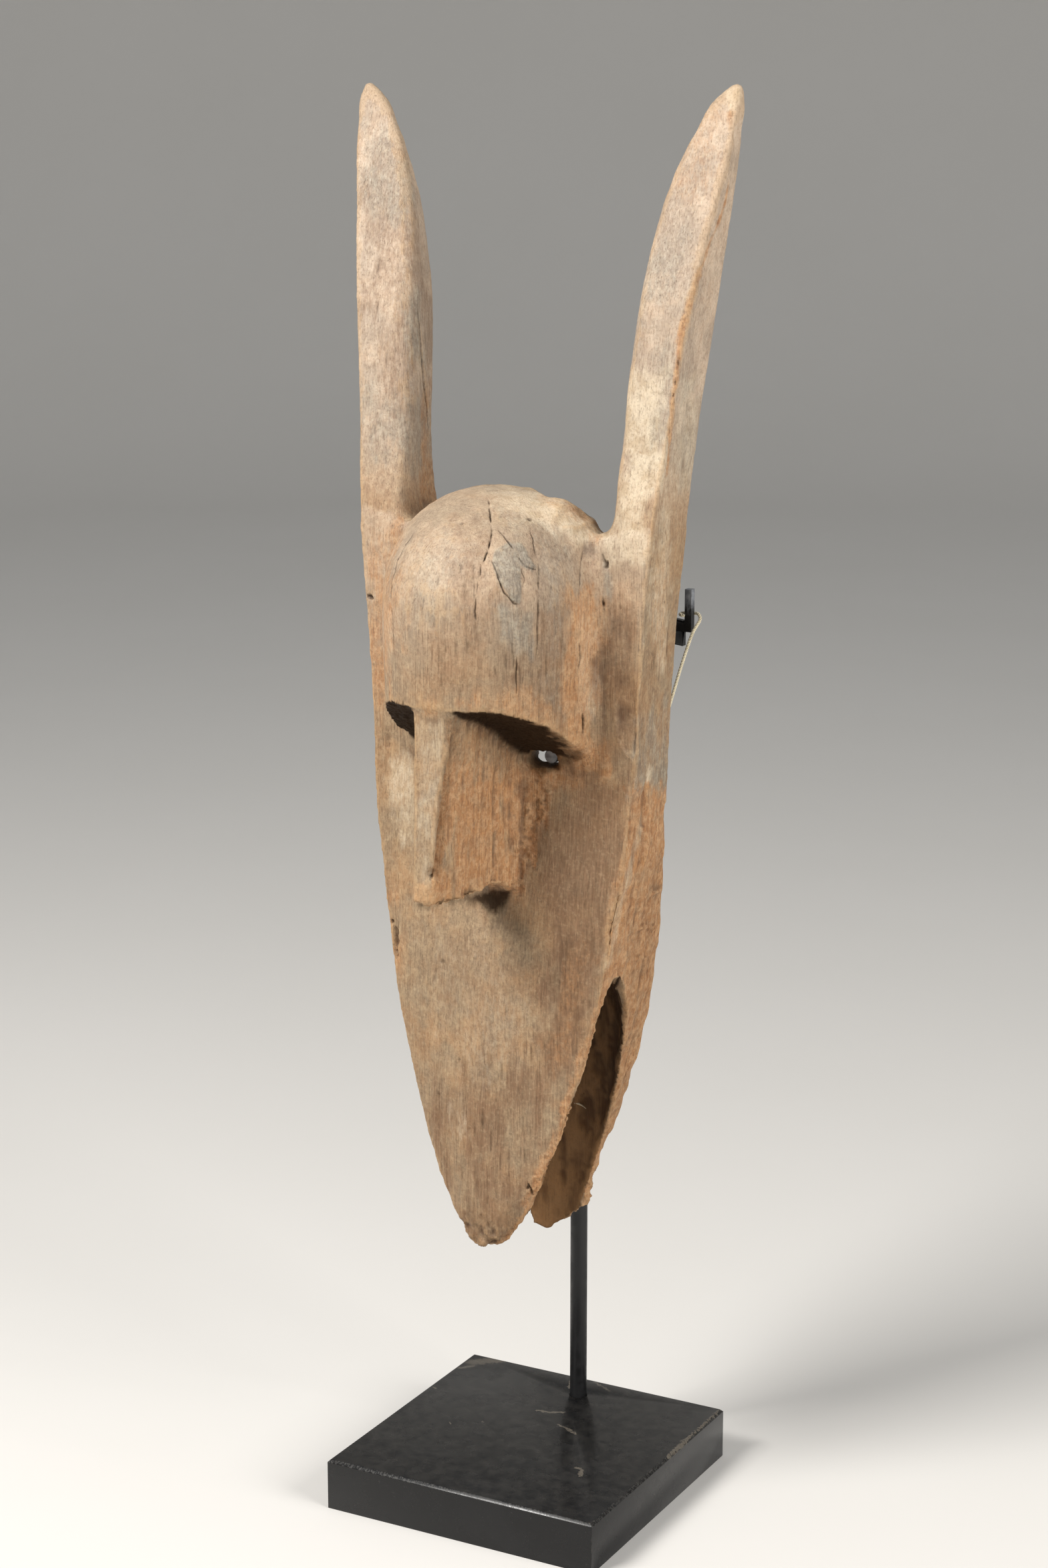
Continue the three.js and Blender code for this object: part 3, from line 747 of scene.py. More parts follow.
# %% Hollows
in_back = within(BACK_HOLLOW) & (facing_towards(BACK_MIDDLE) > BACK_FACING)
in_forehead = within(FOREHEAD_HOLLOW) & (facing_towards(FOREHEAD_MIDDLE) > FOREHEAD_FACING)
middle_front = np.interp(height, (MOUTH_HEIGHTS[0], MOUTH_HEIGHTS[-1]), MOUTH_MIDDLE_FRONTS)
mouth_middle = np.stack([0 * across, middle_front, height], axis=1)
in_mouth = (height < MOUTH_TOP) & (np.sum((mouth_middle * MM - points) * normals, axis=1) > MOUTH_FACING)
in_mouth &= np.abs(across) < np.interp(height, MOUTH_HEIGHTS, MOUTH_HALF_WIDTHS)
in_mouth &= front > np.interp(height, MOUTH_HEIGHTS, MOUTH_FRONTS)
hollow = in_back | in_forehead | in_mouth
inside = hollow.astype(float)
outside = 1 - inside
print("inside the hollows:", int(hollow.sum()), "points")

# %% [markdown]
# A patch is an outline in the photograph, as a few pixels. Every point of the skin is looked at through
# the same camera, and the mask is how deep the point lies within the outline. Noise frays the border.

# %% The skin as the camera sees it
camera_turn = np.array(camera.rotation_euler.to_matrix())
from_camera = (points - np.array(camera.location)) @ camera_turn
pixels_per_mm = FOCAL_PIXELS * MM / -from_camera[:, 2]
seen_x = PHOTO_WIDTH / 2 + FOCAL_PIXELS * from_camera[:, 0] / -from_camera[:, 2]
seen_y = PHOTO_HEIGHT / 2 - FOCAL_PIXELS * from_camera[:, 1] / -from_camera[:, 2]
faces_camera = np.sum((np.array(camera.location) - points) * normals, axis=1) > 0
seen = np.stack([seen_x, seen_y], axis=1)


def fibrous(width, length, seed):
    """Noise at the wood's points, with bumps so wide, and so long up the grain, in metres."""
    return noise(points, (width, width, length), seed)


# %% Patches and bands
BORDER_FRAY = 0.7
FINE_FRAY = 0.6
BAND_EDGES = (1.3, 0.3)
BAND_FRAY = 0.35


def patch(outline, soft, seed):
    """How far a point is inside an outline of pixels, with a border so soft and frayed, in mm."""
    corners = np.array(outline, float)
    distance = np.full(len(seen), FAR_AWAY)
    enclosed = np.zeros(len(seen), bool)
    for (x0, y0), (x1, y1) in zip(corners, np.roll(corners, -1, axis=0)):
        step = np.array([x1 - x0, y1 - y0])
        away = seen - (x0, y0)
        t = np.clip(away @ step / (step @ step), 0, 1)
        distance = np.minimum(distance, np.linalg.norm(away - t[:, None] * step, axis=1))
        crosses = (y0 > seen[:, 1]) != (y1 > seen[:, 1])
        share = (seen[:, 1] - y0) / (y1 - y0 or 1)
        enclosed ^= crosses & (seen[:, 0] < x0 + share * (x1 - x0))
    deep = np.where(enclosed, distance, -distance) / pixels_per_mm
    ragged = fibrous(0.008, 0.02, seed) + FINE_FRAY * fibrous(0.003, 0.006, seed + 1)
    return smoothstep(-soft, soft, deep + BORDER_FRAY * soft * ragged) * faces_camera * outside


def band(pixels, width, seed, fray=BAND_FRAY):
    """A mask along a line on the wood, soft and frayed at its edges."""
    off = off_line(points, line_on_wood(pixels))[0] / (width * MM)
    return smoothstep(*BAND_EDGES, off + fray * fibrous(0.003, 0.009, seed))


# %% Outlines of the patches: strength, softness in millimetres and pixels
PATCHES = {
    "raw": {
        "right_of_forehead": (0.72, 5, [
            (856, 872), (897, 866), (901, 960), (896, 1040), (888, 1100), (872, 1135), (850, 1118),
            (846, 1000),
        ]),
        "edge_of_brow": (0.5, 5, [
            (675, 1040), (794, 1032), (860, 1090), (850, 1118), (735, 1066), (640, 1062),
        ]),
        "round_right_eye": (0.8, 4, [
            (852, 1120), (905, 1100), (915, 1150), (870, 1185), (800, 1180), (775, 1150), (800, 1128),
        ]),
        "back_of_nose_side": (0.8, 5, [
            (752, 1120), (812, 1150), (804, 1240), (776, 1340), (742, 1335), (757, 1240),
        ]),
        "nose_side_high": (0.5, 8, [
            (696, 1072), (765, 1092), (765, 1160), (752, 1240), (690, 1250), (684, 1150),
        ]),
        "broken_side": (0.9, 3, [
            (970, 1200), (1000, 1180), (1000, 1400), (970, 1560), (900, 1790), (890, 1700), (930, 1500),
            (955, 1300),
        ]),
        "beside_arris": (0.6, 4, [
            (943, 1178), (975, 1190), (968, 1300), (940, 1470), (905, 1440), (925, 1330),
        ]),
        "left_edge_high": (0.6, 9, [
            (548, 840), (562, 800), (596, 770), (604, 800), (592, 870), (580, 1090), (566, 1100),
        ]),
        "left_gouge": (0.5, 5, [(566, 1330), (592, 1340), (604, 1440), (590, 1480), (575, 1400)]),
        "worn_shoulder": (0.45, 4, [
            (800, 728), (853, 757), (893, 782), (907, 800), (893, 815), (862, 785), (820, 755),
        ]),
        "chin": (0.25, 5, [(670, 1810), (720, 1840), (780, 1815), (775, 1870), (690, 1870)]),
        "wall_band": (0.3, 4, [(970, 820), (1000, 820), (998, 1000), (970, 1000)]),
        "right_of_muzzle": (0.4, 8, [(835, 1400), (890, 1400), (880, 1520), (840, 1600), (815, 1560)]),
        "channel": (0.2, 7, [(915, 900), (952, 900), (955, 1010), (920, 1010)]),
        "tip_of_nose": (0.6, 2, [(618, 1322), (644, 1325), (652, 1350), (618, 1354)]),
        "right_ear_tip": (0.3, 8, [(1000, 150), (1082, 150), (1062, 300), (995, 330)]),
        "left_ear_inner_edge": (0.6, 4, [(627, 585), (650, 570), (653, 750), (633, 750)]),
    },
    "cool": {
        "flake": (0.9, 0.8, [
            (738, 826), (760, 808), (781, 814), (803, 848), (797, 854), (778, 845), (781, 879),
            (778, 904), (766, 898), (744, 867), (735, 842),
        ]),
        "below_flake": (0.6, 4, [(745, 905), (800, 915), (803, 985), (765, 990), (742, 950)]),
        "right_of_flake": (0.35, 8, [(806, 792), (850, 800), (862, 880), (850, 1000), (808, 990)]),
        "left_of_forehead": (0.3, 10, [(600, 800), (690, 790), (700, 880), (660, 950), (592, 940)]),
        "top_of_forehead": (0.4, 6, [
            (745, 762), (790, 765), (850, 800), (856, 850), (810, 845), (780, 805),
        ]),
        "right_of_brow": (0.3, 6, [(794, 1005), (846, 1005), (850, 1085), (800, 1065)]),
        "left_ear_tip": (0.5, 9, [(545, 180), (600, 190), (618, 335), (556, 345)]),
        "left_ear_middle": (0.6, 6, [(600, 430), (634, 436), (640, 560), (605, 545)]),
        "left_ear_foot": (0.5, 9, [(545, 580), (640, 600), (642, 705), (548, 700)]),
        "right_ear_middle": (0.45, 6, [(985, 495), (1012, 500), (1002, 650), (978, 660)]),
        "right_ear_high": (0.45, 8, [(960, 380), (1030, 330), (1020, 440), (950, 480)]),
        "right_ear_side": (0.35, 4, [(1016, 560), (1050, 560), (1044, 740), (1010, 740)]),
        "right_wall": (0.6, 8, [(958, 1075), (1003, 1040), (998, 1185), (956, 1190)]),
        "muzzle": (0.25, 14, [(673, 1509), (779, 1500), (790, 1590), (740, 1625), (668, 1600)]),
        "valley": (0.7, 2, [(905, 845), (925, 880), (915, 905), (900, 890)]),
        "nose_front": (0.3, 5, [(625, 1120), (655, 1090), (655, 1260), (622, 1300)]),
    },
    "film_and_highlight": {
        "top_right_of_forehead": (0.7, 5, [
            (756, 722), (830, 728), (893, 785), (903, 800), (892, 822), (850, 812), (800, 780),
            (762, 755),
        ]),
        "right_ear_root": (0.6, 5, [(921, 700), (968, 700), (965, 850), (915, 846), (906, 805)]),
        "muzzle": (0.2, 18, [
            (640, 1360), (740, 1390), (800, 1480), (770, 1590), (700, 1600), (630, 1560), (605, 1400),
        ]),
        "right_ear_foot": (0.75, 6, [(945, 560), (992, 560), (988, 740), (925, 760)]),
        "right_ear_side": (0.45, 4, [(1014, 560), (1050, 560), (1044, 740), (1008, 740)]),
        "wall_band": (0.5, 5, [(968, 820), (1001, 820), (999, 960), (970, 960)]),
        "edge_of_forehead": (0.7, 5, [(864, 920), (902, 920), (898, 1070), (864, 1070)]),
        "right_ear_tip": (0.8, 3, [(1085, 125), (1115, 125), (1112, 165), (1085, 165)]),
        "top_of_forehead": (0.5, 7, [(722, 730), (800, 728), (832, 758), (800, 785), (738, 772)]),
        "chip_on_wall": (1.0, 0.7, [(968, 1149), (974, 1149), (975, 1167), (969, 1169)]),
        "muzzle_spot": (0.4, 4, [(673, 1655), (702, 1655), (702, 1705), (676, 1705)]),
        # Painted highlight on the left of the forehead.
        "left_of_forehead": (0.3, 6, [(600, 815), (676, 823), (684, 890), (645, 910), (606, 880)]),
        "outer_ridge": (0.45, 3, [(985, 760), (1000, 760), (997, 1010), (984, 1010)]),
        "nose_front": (0.3, 6, [(620, 1080), (668, 1080), (655, 1340), (625, 1345)]),
        "left_cheek": (0.6, 7, [(574, 1130), (612, 1130), (616, 1270), (590, 1270)]),
    },
    "brown": {
        "channel": (0.55, 7, [
            (905, 905), (952, 900), (957, 1000), (950, 1150), (905, 1120), (898, 1040),
        ]),
        "right_cheek": (0.7, 10, [
            (840, 1190), (950, 1150), (945, 1260), (905, 1430), (850, 1420), (790, 1340), (800, 1230),
        ]),
        "left_of_brow": (0.25, 9, [(610, 960), (700, 950), (700, 1050), (600, 1055)]),
        "right_of_forehead": (0.55, 8, [(795, 900), (850, 890), (850, 1080), (790, 1060)]),
        # The bevel's own brown, with painted shade in this concave strip.
        "shaded_nose_bevel": (0.9, 3, [
            (668, 1085), (684, 1110), (680, 1150), (668, 1220), (660, 1290), (650, 1318), (646, 1300),
            (656, 1215),
        ]),
        "left_edge": (0.6, 7, [(556, 1270), (582, 1270), (590, 1360), (566, 1360)]),
        "low_muzzle": (0.7, 22, [
            (640, 1640), (800, 1600), (790, 1680), (760, 1790), (690, 1810), (650, 1740),
        ]),
        # Painted shade on the muzzle's right flank.
        "right_of_muzzle": (0.95, 9, [
            (826, 1402), (905, 1400), (880, 1530), (838, 1620), (800, 1700), (810, 1560),
        ]),
        "left_ear": (0.45, 14, [(548, 200), (610, 230), (640, 420), (645, 640), (548, 640)]),
        "muzzle_dent": (0.5, 4, [(680, 1580), (708, 1585), (714, 1658), (690, 1658)]),
        "nose_side_low": (0.4, 5, [(700, 1190), (740, 1190), (730, 1300), (675, 1320)]),
        "round_flake": (0.35, 6, [
            (752, 780), (792, 762), (846, 800), (852, 842), (812, 838), (782, 802),
        ]),
        "forehead_high": (0.35, 7, [(672, 775), (722, 758), (730, 800), (716, 826), (680, 818)]),
        "left_of_flake": (0.4, 8, [
            (680, 826), (727, 815), (728, 850), (718, 905), (716, 960), (700, 1010), (678, 1000),
        ]),
        "above_brow": (0.4, 10, [
            (640, 1030), (655, 960), (800, 955), (850, 1000), (846, 1060), (760, 1035),
        ]),
        "middle_of_brow": (0.5, 6, [(735, 1000), (790, 990), (800, 1030), (740, 1040)]),
        "wall_band": (0.25, 4, [(968, 850), (985, 850), (980, 1040), (962, 1040)]),
        # Painted shade on the chin's downturned tip.
        "chin": (0.5, 12, [(655, 1800), (720, 1800), (790, 1790), (785, 1880), (670, 1880)]),
        "muzzle_high": (0.35, 12, [(655, 1400), (790, 1400), (800, 1500), (700, 1560), (640, 1500)]),
        "forehead_middle": (0.4, 9, [(700, 880), (760, 900), (740, 1000), (690, 1010)]),
    },
    # Painted shade: the cast shadow under the nose and its edge line, the shade below the brow, in the eye
    # socket and along the nose bevel, and a darker chin, muzzle flank and broken side.
    "painted_shade": {
        "under_nose": (0.95, 1.0, [
            (694, 1338), (722, 1335), (752, 1334), (766, 1332), (758, 1350), (742, 1366), (722, 1357),
            (704, 1347),
        ]),
        "nose_shadow": (0.3, 4.0, [(712, 1342), (764, 1340), (790, 1390), (775, 1405), (742, 1378)]),
        "nose_line": (0.85, 0.7, [
            (624, 1351), (642, 1352), (660, 1350), (678, 1345), (697, 1340), (694, 1345), (660, 1354),
            (624, 1356),
        ]),
        "right_of_muzzle": (0.17, 8.0, [(835, 1400), (890, 1400), (880, 1520), (840, 1600), (815, 1560)]),
        "shaded_nose_bevel": (0.2, 2.0, [
            (670, 1088), (684, 1110), (680, 1150), (668, 1220), (660, 1290), (650, 1316), (648, 1300),
            (660, 1215),
        ]),
        "chin": (0.22, 9.0, [(662, 1800), (720, 1815), (790, 1795), (785, 1880), (670, 1880)]),
        "broken_side": (0.14, 5.0, [
            (955, 1300), (1005, 1250), (1000, 1400), (965, 1560), (905, 1790), (893, 1700), (932, 1480),
        ]),
        "eye_socket": (0.6, 2.0, [
            (790, 1100), (838, 1098), (852, 1120), (862, 1137), (845, 1152), (822, 1160), (798, 1152),
        ]),
        "below_brow": (0.4, 3.0, [(700, 1075), (745, 1085), (790, 1110), (770, 1118), (730, 1098)]),
    },
}

# %% Masks from the patches
PATCH_SEED = 100
SEEDS_A_TONE = 40
SEEDS_A_PATCH = 2
WELL_COVERED = 0.4

masks = {}
for number, (tone, patches) in enumerate(PATCHES.items()):
    mask = np.zeros(len(points))
    for turn, (strength, soft, outline) in enumerate(patches.values()):
        seed = PATCH_SEED + SEEDS_A_TONE * number + SEEDS_A_PATCH * turn
        mask = np.maximum(mask, strength * patch(outline, soft, seed))
    masks[tone] = mask
    print(tone, "covers", int((mask > WELL_COVERED).sum()), "points")

# %% Painted highlights on ridge tops, and worn lines: pixels, width in millimetres, seed and fray
RIDGE_HIGHLIGHTS = {"outer": 0.35, "arris": 0.3, "cheek": 0.15, "arris_lip": 0.25}
RIDGE_HIGHLIGHT_WIDTH = 1.2
RIDGE_HIGHLIGHT_FRAY = 0.6
RIDGE_HIGHLIGHT_SEEDS = (110, 120)
WORN_LINES = {
    "lip": ([(962, 1230), (948, 1280), (934, 1340), (924, 1395), (910, 1445)], 5.0, 116, 0.4),
    "ear_arris": ([
        (1095, 170), (1081, 310), (1060, 366), (1036, 436), (1022, 490), (1014, 550), (1007, 600),
        (998, 709),
    ], 2.2, 12),
    "mouth_edge": ([
        (921, 1452), (898, 1510), (878, 1570), (848, 1652), (832, 1712), (808, 1758), (786, 1800),
    ], 4.0, 55, 0.4),
    # This line gives raw worn wood and a groove, and painted shade in the concave bevel.
    "shaded_nose_bevel": ([
        (679, 1086), (680, 1124), (675, 1156), (669, 1190), (664, 1230), (659, 1268), (653, 1302),
    ], 5.0, 52, 0.45),
    "nose_fringe": ([(812, 1156), (802, 1215), (793, 1270), (772, 1322)], 6.0, 57, 0.5),
}

# A frayed band of painted highlight along each ridge top, laid into the pale film mask.
for number, (name, strength) in enumerate(RIDGE_HIGHLIGHTS.items()):
    ridge_highlight = band(RIDGES[name][0], RIDGE_HIGHLIGHT_WIDTH, RIDGE_HIGHLIGHT_SEEDS[0] + number, RIDGE_HIGHLIGHT_FRAY)
    ridge_highlight *= smoothstep(-0.5, 0.5, noise(points, 0.009, RIDGE_HIGHLIGHT_SEEDS[1] + number))
    masks["film_and_highlight"] = np.maximum(masks["film_and_highlight"], strength * ridge_highlight)
worn = {name: band(*line) for name, line in WORN_LINES.items()}
masks["film_and_highlight"] = np.maximum(masks["film_and_highlight"], 0.5 * worn["lip"])
print("worn lines:", ", ".join(worn))

# %% [markdown]
# Below the eyes the right side is broken wood, behind one ragged arris. Its line is read off the
# photograph too, and everything beyond it is cut back. The tips of both jaws, the cut end of the nose
# and the edge of the brow are broken as well.

# %% Broken side, with limits in millimetres
RAGGED_ARRIS = [(949, 1178), (942, 1255), (932, 1303), (919, 1339), (912, 1371), (905, 1425)]
ARRIS_FOOT = (326, 338)
ARRIS_HEAD = (430, 422)
CUT_BACK_OVER = 2.8
CUT_BACK_TO = 12
BROKEN_HEAD = (436, 420)
BROKEN_LEAN = 0.3
BROKEN_LEANS_FROM = 10

arris_line = line_on_wood(RAGGED_ARRIS)[::-1] / MM
beyond = across - np.interp(height, arris_line[:, 2], arris_line[:, 0])
beyond += 2.4 * fibrous(0.005, 0.008, 50) + noise(points, 0.003, 54)
stretch = smoothstep(*ARRIS_FOOT, height) * smoothstep(*ARRIS_HEAD, height) * outside
cut_back = smoothstep(0, CUT_BACK_OVER, beyond) * stretch * (front < CUT_BACK_TO)

frayed = fibrous(0.006, 0.02, 51)
ragged_top = height + 9 * frayed + 4 * noise(points, 0.004, 58) + BROKEN_LEAN * (front + BROKEN_LEANS_FROM)
side_wall = smoothstep(0.35, 0.75, facing_right) * outside
low_side = np.maximum(side_wall * smoothstep(*BROKEN_HEAD, ragged_top), cut_back)

# %% Broken brow, nose and jaws, with limits in millimetres
ANYWHERE = (-math.inf, math.inf)
BROW = (ANYWHERE, (-math.inf, -34), (436, 484))
BROW_ENDS = (52, 43)
NOSE_END = (ANYWHERE, (-math.inf, -36), (355, 390))
NOSE_SIDES = ((-19, 19), (-math.inf, -34), (360, 482))
JAW_TIPS = (184, 168)

# Painted shade: the brow's underside is marked here and painted near black in the dark layer.
brow_underside = smoothstep(-0.25, -0.6, facing_up) * within(BROW)
brow_underside = brow_underside * smoothstep(*BROW_ENDS, across + 4 * noise(points, 0.004, 53)) * outside
nose_end = smoothstep(-0.3, -0.7, facing_up) * within(NOSE_END)
nose_side = within(NOSE_SIDES) * smoothstep(0.4, 0.8, np.abs(facing_right))
nose_side *= 0.7 + 0.3 * np.sign(facing_right)
jaw_tips = smoothstep(*JAW_TIPS, height + 5 * frayed) * (1 - 0.5 * inside)

# %% Raw wood, wherever it is broken or worn
IN_HOLLOWS = 0.35

broken = np.maximum.reduce([low_side, 0.9 * nose_end, 0.35 * jaw_tips])
raw = np.maximum(masks["raw"], 0.8 * worn["ear_arris"])
raw = np.maximum(raw, broken * smoothstep(-0.9, 0.3, frayed + 0.5 * (broken > 0.8)))
raw[hollow] *= IN_HOLLOWS
raw *= 1 - 0.45 * worn["lip"]
for strength, name in ((0.7, "mouth_edge"), (0.4, "shaded_nose_bevel"), (0.85, "nose_fringe")):
    raw = np.maximum(raw, strength * worn[name])
print("raw wood on", int((raw > WELL_COVERED).sum()), "points")

# %% [markdown]
# ### Carving
#
# Each pass takes a little off or leaves a little standing. A hand-held adze leaves the outside gently
# uneven and scallops the hollows, the grain stands up in fine ridges where the soft wood has gone, and
# splits and pits are cut in last.

# %% Gouge strokes
STROKE_LENGTH = 2.2
STROKE_JITTER = 0.45
STROKE_REACH = 0.9
STROKE_LEVEL = 0.25


def scallops(places, size, seed):
    """Hollow strokes of a gouge, each deepest in its middle, longer than they are wide."""
    cell = np.array([size, size, size * STROKE_LENGTH])
    lowest = np.floor(places.min(0) / cell) - 1
    counts = (np.ceil(places.max(0) / cell) + 1 - lowest).astype(int)
    grid = np.array(list(itertools.product(*[range(count) for count in counts])))
    jitter = np.stack([noise(grid * 1.0, 0.37, seed + axis) for axis in range(3)], axis=1)
    middles = grid + 0.5 + STROKE_JITTER * jitter
    tree = KDTree(len(middles))
    for i, place in enumerate(middles):
        tree.insert(place, i)
    tree.balance()
    far = np.array([tree.find(place)[2] for place in places / cell - lowest])
    return np.clip(far, 0, STROKE_REACH) ** 2 - STROKE_LEVEL


# %% Depths of the passes, in millimetres
ADZE_DEPTH = 0.35
ADZE_FINE_DEPTH = 0.2
BUMPY_PLACE = ((46, -34, 572), (24, 26, 18))
BUMPY_DEPTH = 0.5
BUMPY_FINE_DEPTH = 0.3
WEATHERED_DEPTH = 0.1
FLAKE_STANDS = 0.35
FLAKE_BELOW = 580
DRY_DEPTH = 0.1
GRAIN_DEPTH = 0.09
LOW_GRAIN_DEPTH = 0.12
NOSE_GRAIN_DEPTH = 0.5
JAW_GRAIN_DEPTH = 0.3
STRIP_DEPTH = 0.25
LOWER_FACE = (330, 180)
JAW = (290, 200)
JAW_LOW = (250, 180)


def creased(cell, seed):
    """Noise with sharp valleys, as where flakes have broken away."""
    return 1 - 2 * np.abs(noise(points, cell, seed))


# %% The adze, the weather and the grain
lift = outside * ADZE_DEPTH * MM * fibrous(0.03, 0.05, 1)
lift += outside * ADZE_FINE_DEPTH * MM * fibrous(0.011, 0.022, 2)
bumps = BUMPY_DEPTH * creased(0.009, 13) + BUMPY_FINE_DEPTH * noise(points, 0.0035, 19)
lift += ball(points, *BUMPY_PLACE) * outside * MM * bumps
lift += masks["cool"] * WEATHERED_DEPTH * MM * noise(points, 0.004, 14)
lift += FLAKE_STANDS * MM * smoothstep(0.68, 0.82, masks["cool"]) * (height < FLAKE_BELOW)
dry = noise(points, 0.0042, 21) + 0.6 * noise(points, 0.0022, 22)
lift += outside * DRY_DEPTH * MM * dry * smoothstep(0.6, -0.2, noise(points, 0.02, 23))

fibre = fibrous(0.0032, 0.035, 3) + 0.7 * fibrous(0.0018, 0.016, 4)
lift += outside * (GRAIN_DEPTH + LOW_GRAIN_DEPTH * smoothstep(*LOWER_FACE, height)) * MM * fibre
close_depth = NOSE_GRAIN_DEPTH * nose_side + JAW_GRAIN_DEPTH * smoothstep(*JAW, height)
lift += outside * MM * close_depth * fibrous(0.0017, 0.07, 20)
lift += outside * STRIP_DEPTH * MM * smoothstep(*JAW_LOW, height) * fibrous(0.006, 0.09, 15)

# %% Broken wood, by how far it stands up and how far it is taken down, in millimetres
SPLINTER_DEPTH = 0.2
SIDE_TAKEN_DOWN = 0.7
CUT_BACK_DEPTH = 1.5
CUT_BACK_SLOPE = 0.3
CUT_BACK_LIMIT = 9

splinters = fibrous(0.0024, 0.03, 5) + 0.8 * fibrous(0.006, 0.06, 6)
torn_steps = creased((0.006, 0.006, 0.035), 16) + 0.5 * creased((0.012, 0.012, 0.009), 25)
lift += raw * (1 - nose_side) * outside * MM * SPLINTER_DEPTH * splinters
lift += low_side * outside * MM * (0.22 * splinters + 0.6 * torn_steps - SIDE_TAKEN_DOWN)
slope_back = CUT_BACK_DEPTH + CUT_BACK_SLOPE * np.clip(beyond, 0, CUT_BACK_LIMIT)
lift -= cut_back * (smoothstep(0.2, 0.8, facing_front) * slope_back) * MM

rough = noise(points, 0.0024, 7) + noise(points, 0.0013, 8)
chips = creased(0.007, 17) + 0.8 * creased(0.0038, 18)
lift += (0.3 * rough + 1.2 * chips - 0.6) * MM * jaw_tips * outside
lift += (0.3 * rough + 0.4 * chips) * MM * nose_end * outside
lift += 0.3 * rough * MM * brow_underside
lift += (0.3 * rough - 1.0) * MM * worn["shaded_nose_bevel"] * outside
lift += (0.35 * rough + 0.3 * splinters) * MM * worn["nose_fringe"] * outside
lift += 0.25 * rough * MM * worn["ear_arris"]
lift += (0.35 * rough - 0.25) * MM * worn["mouth_edge"]

# %% Gouge strokes in the hollows
STROKE_WIDTH = 0.013
STROKE_DEPTH = 2.4
MOUTH_FRONT_RIM = (245, 185)

mottle = fibrous(0.006, 0.012, 26) + 0.6 * noise(points, 0.0028, 27)
strokes = np.zeros(len(points))
strokes[hollow] = scallops(points[hollow], STROKE_WIDTH, 9) + STROKE_LEVEL
lift[hollow] += (strokes[hollow] - STROKE_LEVEL) * STROKE_DEPTH * MM
lift[hollow] += MM * (0.15 * fibre + 0.3 * mottle)[hollow]
# Painted highlight: the strokes mask makes the ridges between gouge strokes, and the lower mouth, paler.
strokes = smoothstep(0.0, 0.9, strokes + (0.12 * fibre + 0.3 * mottle) * inside)
strokes += (0.75 + 0.25 * mottle) * in_mouth * smoothstep(*MOUTH_FRONT_RIM, height + 8 * mottle)

# %% Ridges and grooves, tapered at both ends
grooved_lines = [(pixels, width, -deep) for pixels, width, deep in GROOVES.values()]
for pixels, width, tall in [*RIDGES.values(), *grooved_lines]:
    off, along = off_line(points, line_on_wood(pixels))
    tapered = tall * MM * smoothstep(0, 0.3, along) * smoothstep(1, 0.7, along)
    tapered *= 0.85 + 0.3 * noise(points, 0.01, 24)
    lift += tapered * smoothstep(1, 0.1, off / (width * MM)) * outside
points = points + normals * lift[:, None]
print("relief from", round(lift.min() / MM, 2), "to", round(lift.max() / MM, 2), "mm")

# %% Hairline checks: a box of pixels, how many and a seed
CHECKS = {
    "forehead": ((625, 760, 850, 1010), 34, 1),
    "muzzle": ((640, 1500, 800, 1760), 20, 2),
    "left_ear": ((560, 300, 630, 640), 8, 3),
    "right_ear_and_wall": ((930, 500, 1000, 1000), 12, 4),
}
CHECK_LENGTHS = (12, 50)
CHECK_LEAN = 3
CHECK_WIDTHS = (0.85, 0.1)
CHECK_DEPTH = 0.32
CHECK_GLOOM = 0.42


def fine_checks(box, count, seed):
    """Short hairline checks along the grain, scattered over a box of pixels."""
    pick = np.random.default_rng(seed)
    lines = []
    for _ in range(count):
        px = pick.uniform(box[0], box[2])
        py = pick.uniform(box[1], box[3])
        drop = pick.uniform(*CHECK_LENGTHS)
        lines.append(line_on_wood([(px, py), (px + pick.uniform(-CHECK_LEAN, CHECK_LEAN), py + drop)]))
    return lines


# The checks below are darkened in the dark layer: partly dirt in them and partly painted shade.
dark = np.zeros(len(points))
for line in itertools.chain.from_iterable(fine_checks(*check) for check in CHECKS.values()):
    near = np.all((points > line.min(0) - MM) & (points < line.max(0) + MM), axis=1)
    off, along = off_line(points[near], line)
    hairline = smoothstep(CHECK_WIDTHS[0] * MM, CHECK_WIDTHS[1] * MM, off)
    hairline = hairline * smoothstep(0, 0.3, along) * smoothstep(1, 0.6, along)
    points[near] -= normals[near] * (CHECK_DEPTH * MM * hairline)[:, None]
    dark[near] = np.maximum(dark[near], CHECK_GLOOM * hairline)

# %% Splits
SPLIT_SEED = 60
WANDERS = 0.35 * MM


def wander(line, seed):
    """A split's line with more points and a slight wander across the grain."""
    share = np.linspace(0, len(line) - 1, 6 * len(line))
    finer = np.stack([np.interp(share, range(len(line)), axis) for axis in line.T], axis=1)
    sway = np.stack([noise(finer, 0.004, seed + axis) for axis in range(3)], axis=1)
    sway[:, 2] = 0
    return finer + WANDERS * sway


# Each split is darkened too: partly dirt in it and partly painted shade.
for number, (name, (_, width, depth, gloom)) in enumerate(SPLITS.items()):
    off, along = off_line(points, wander(split_lines[name], SPLIT_SEED + number))
    thin = np.sqrt(np.clip(4.4 * along * (1 - along), 0, 1))
    groove = np.clip(1 - off / (width * MM * (0.35 + 0.65 * thin)), 0, 1)
    points -= normals * (groove * depth * MM * thin)[:, None]
    dark = np.maximum(dark, gloom * smoothstep(0.05, 0.6, groove) * np.sqrt(thin))

# %% Pits
PIT_SEED = 80
PIT_FRAY = 0.25


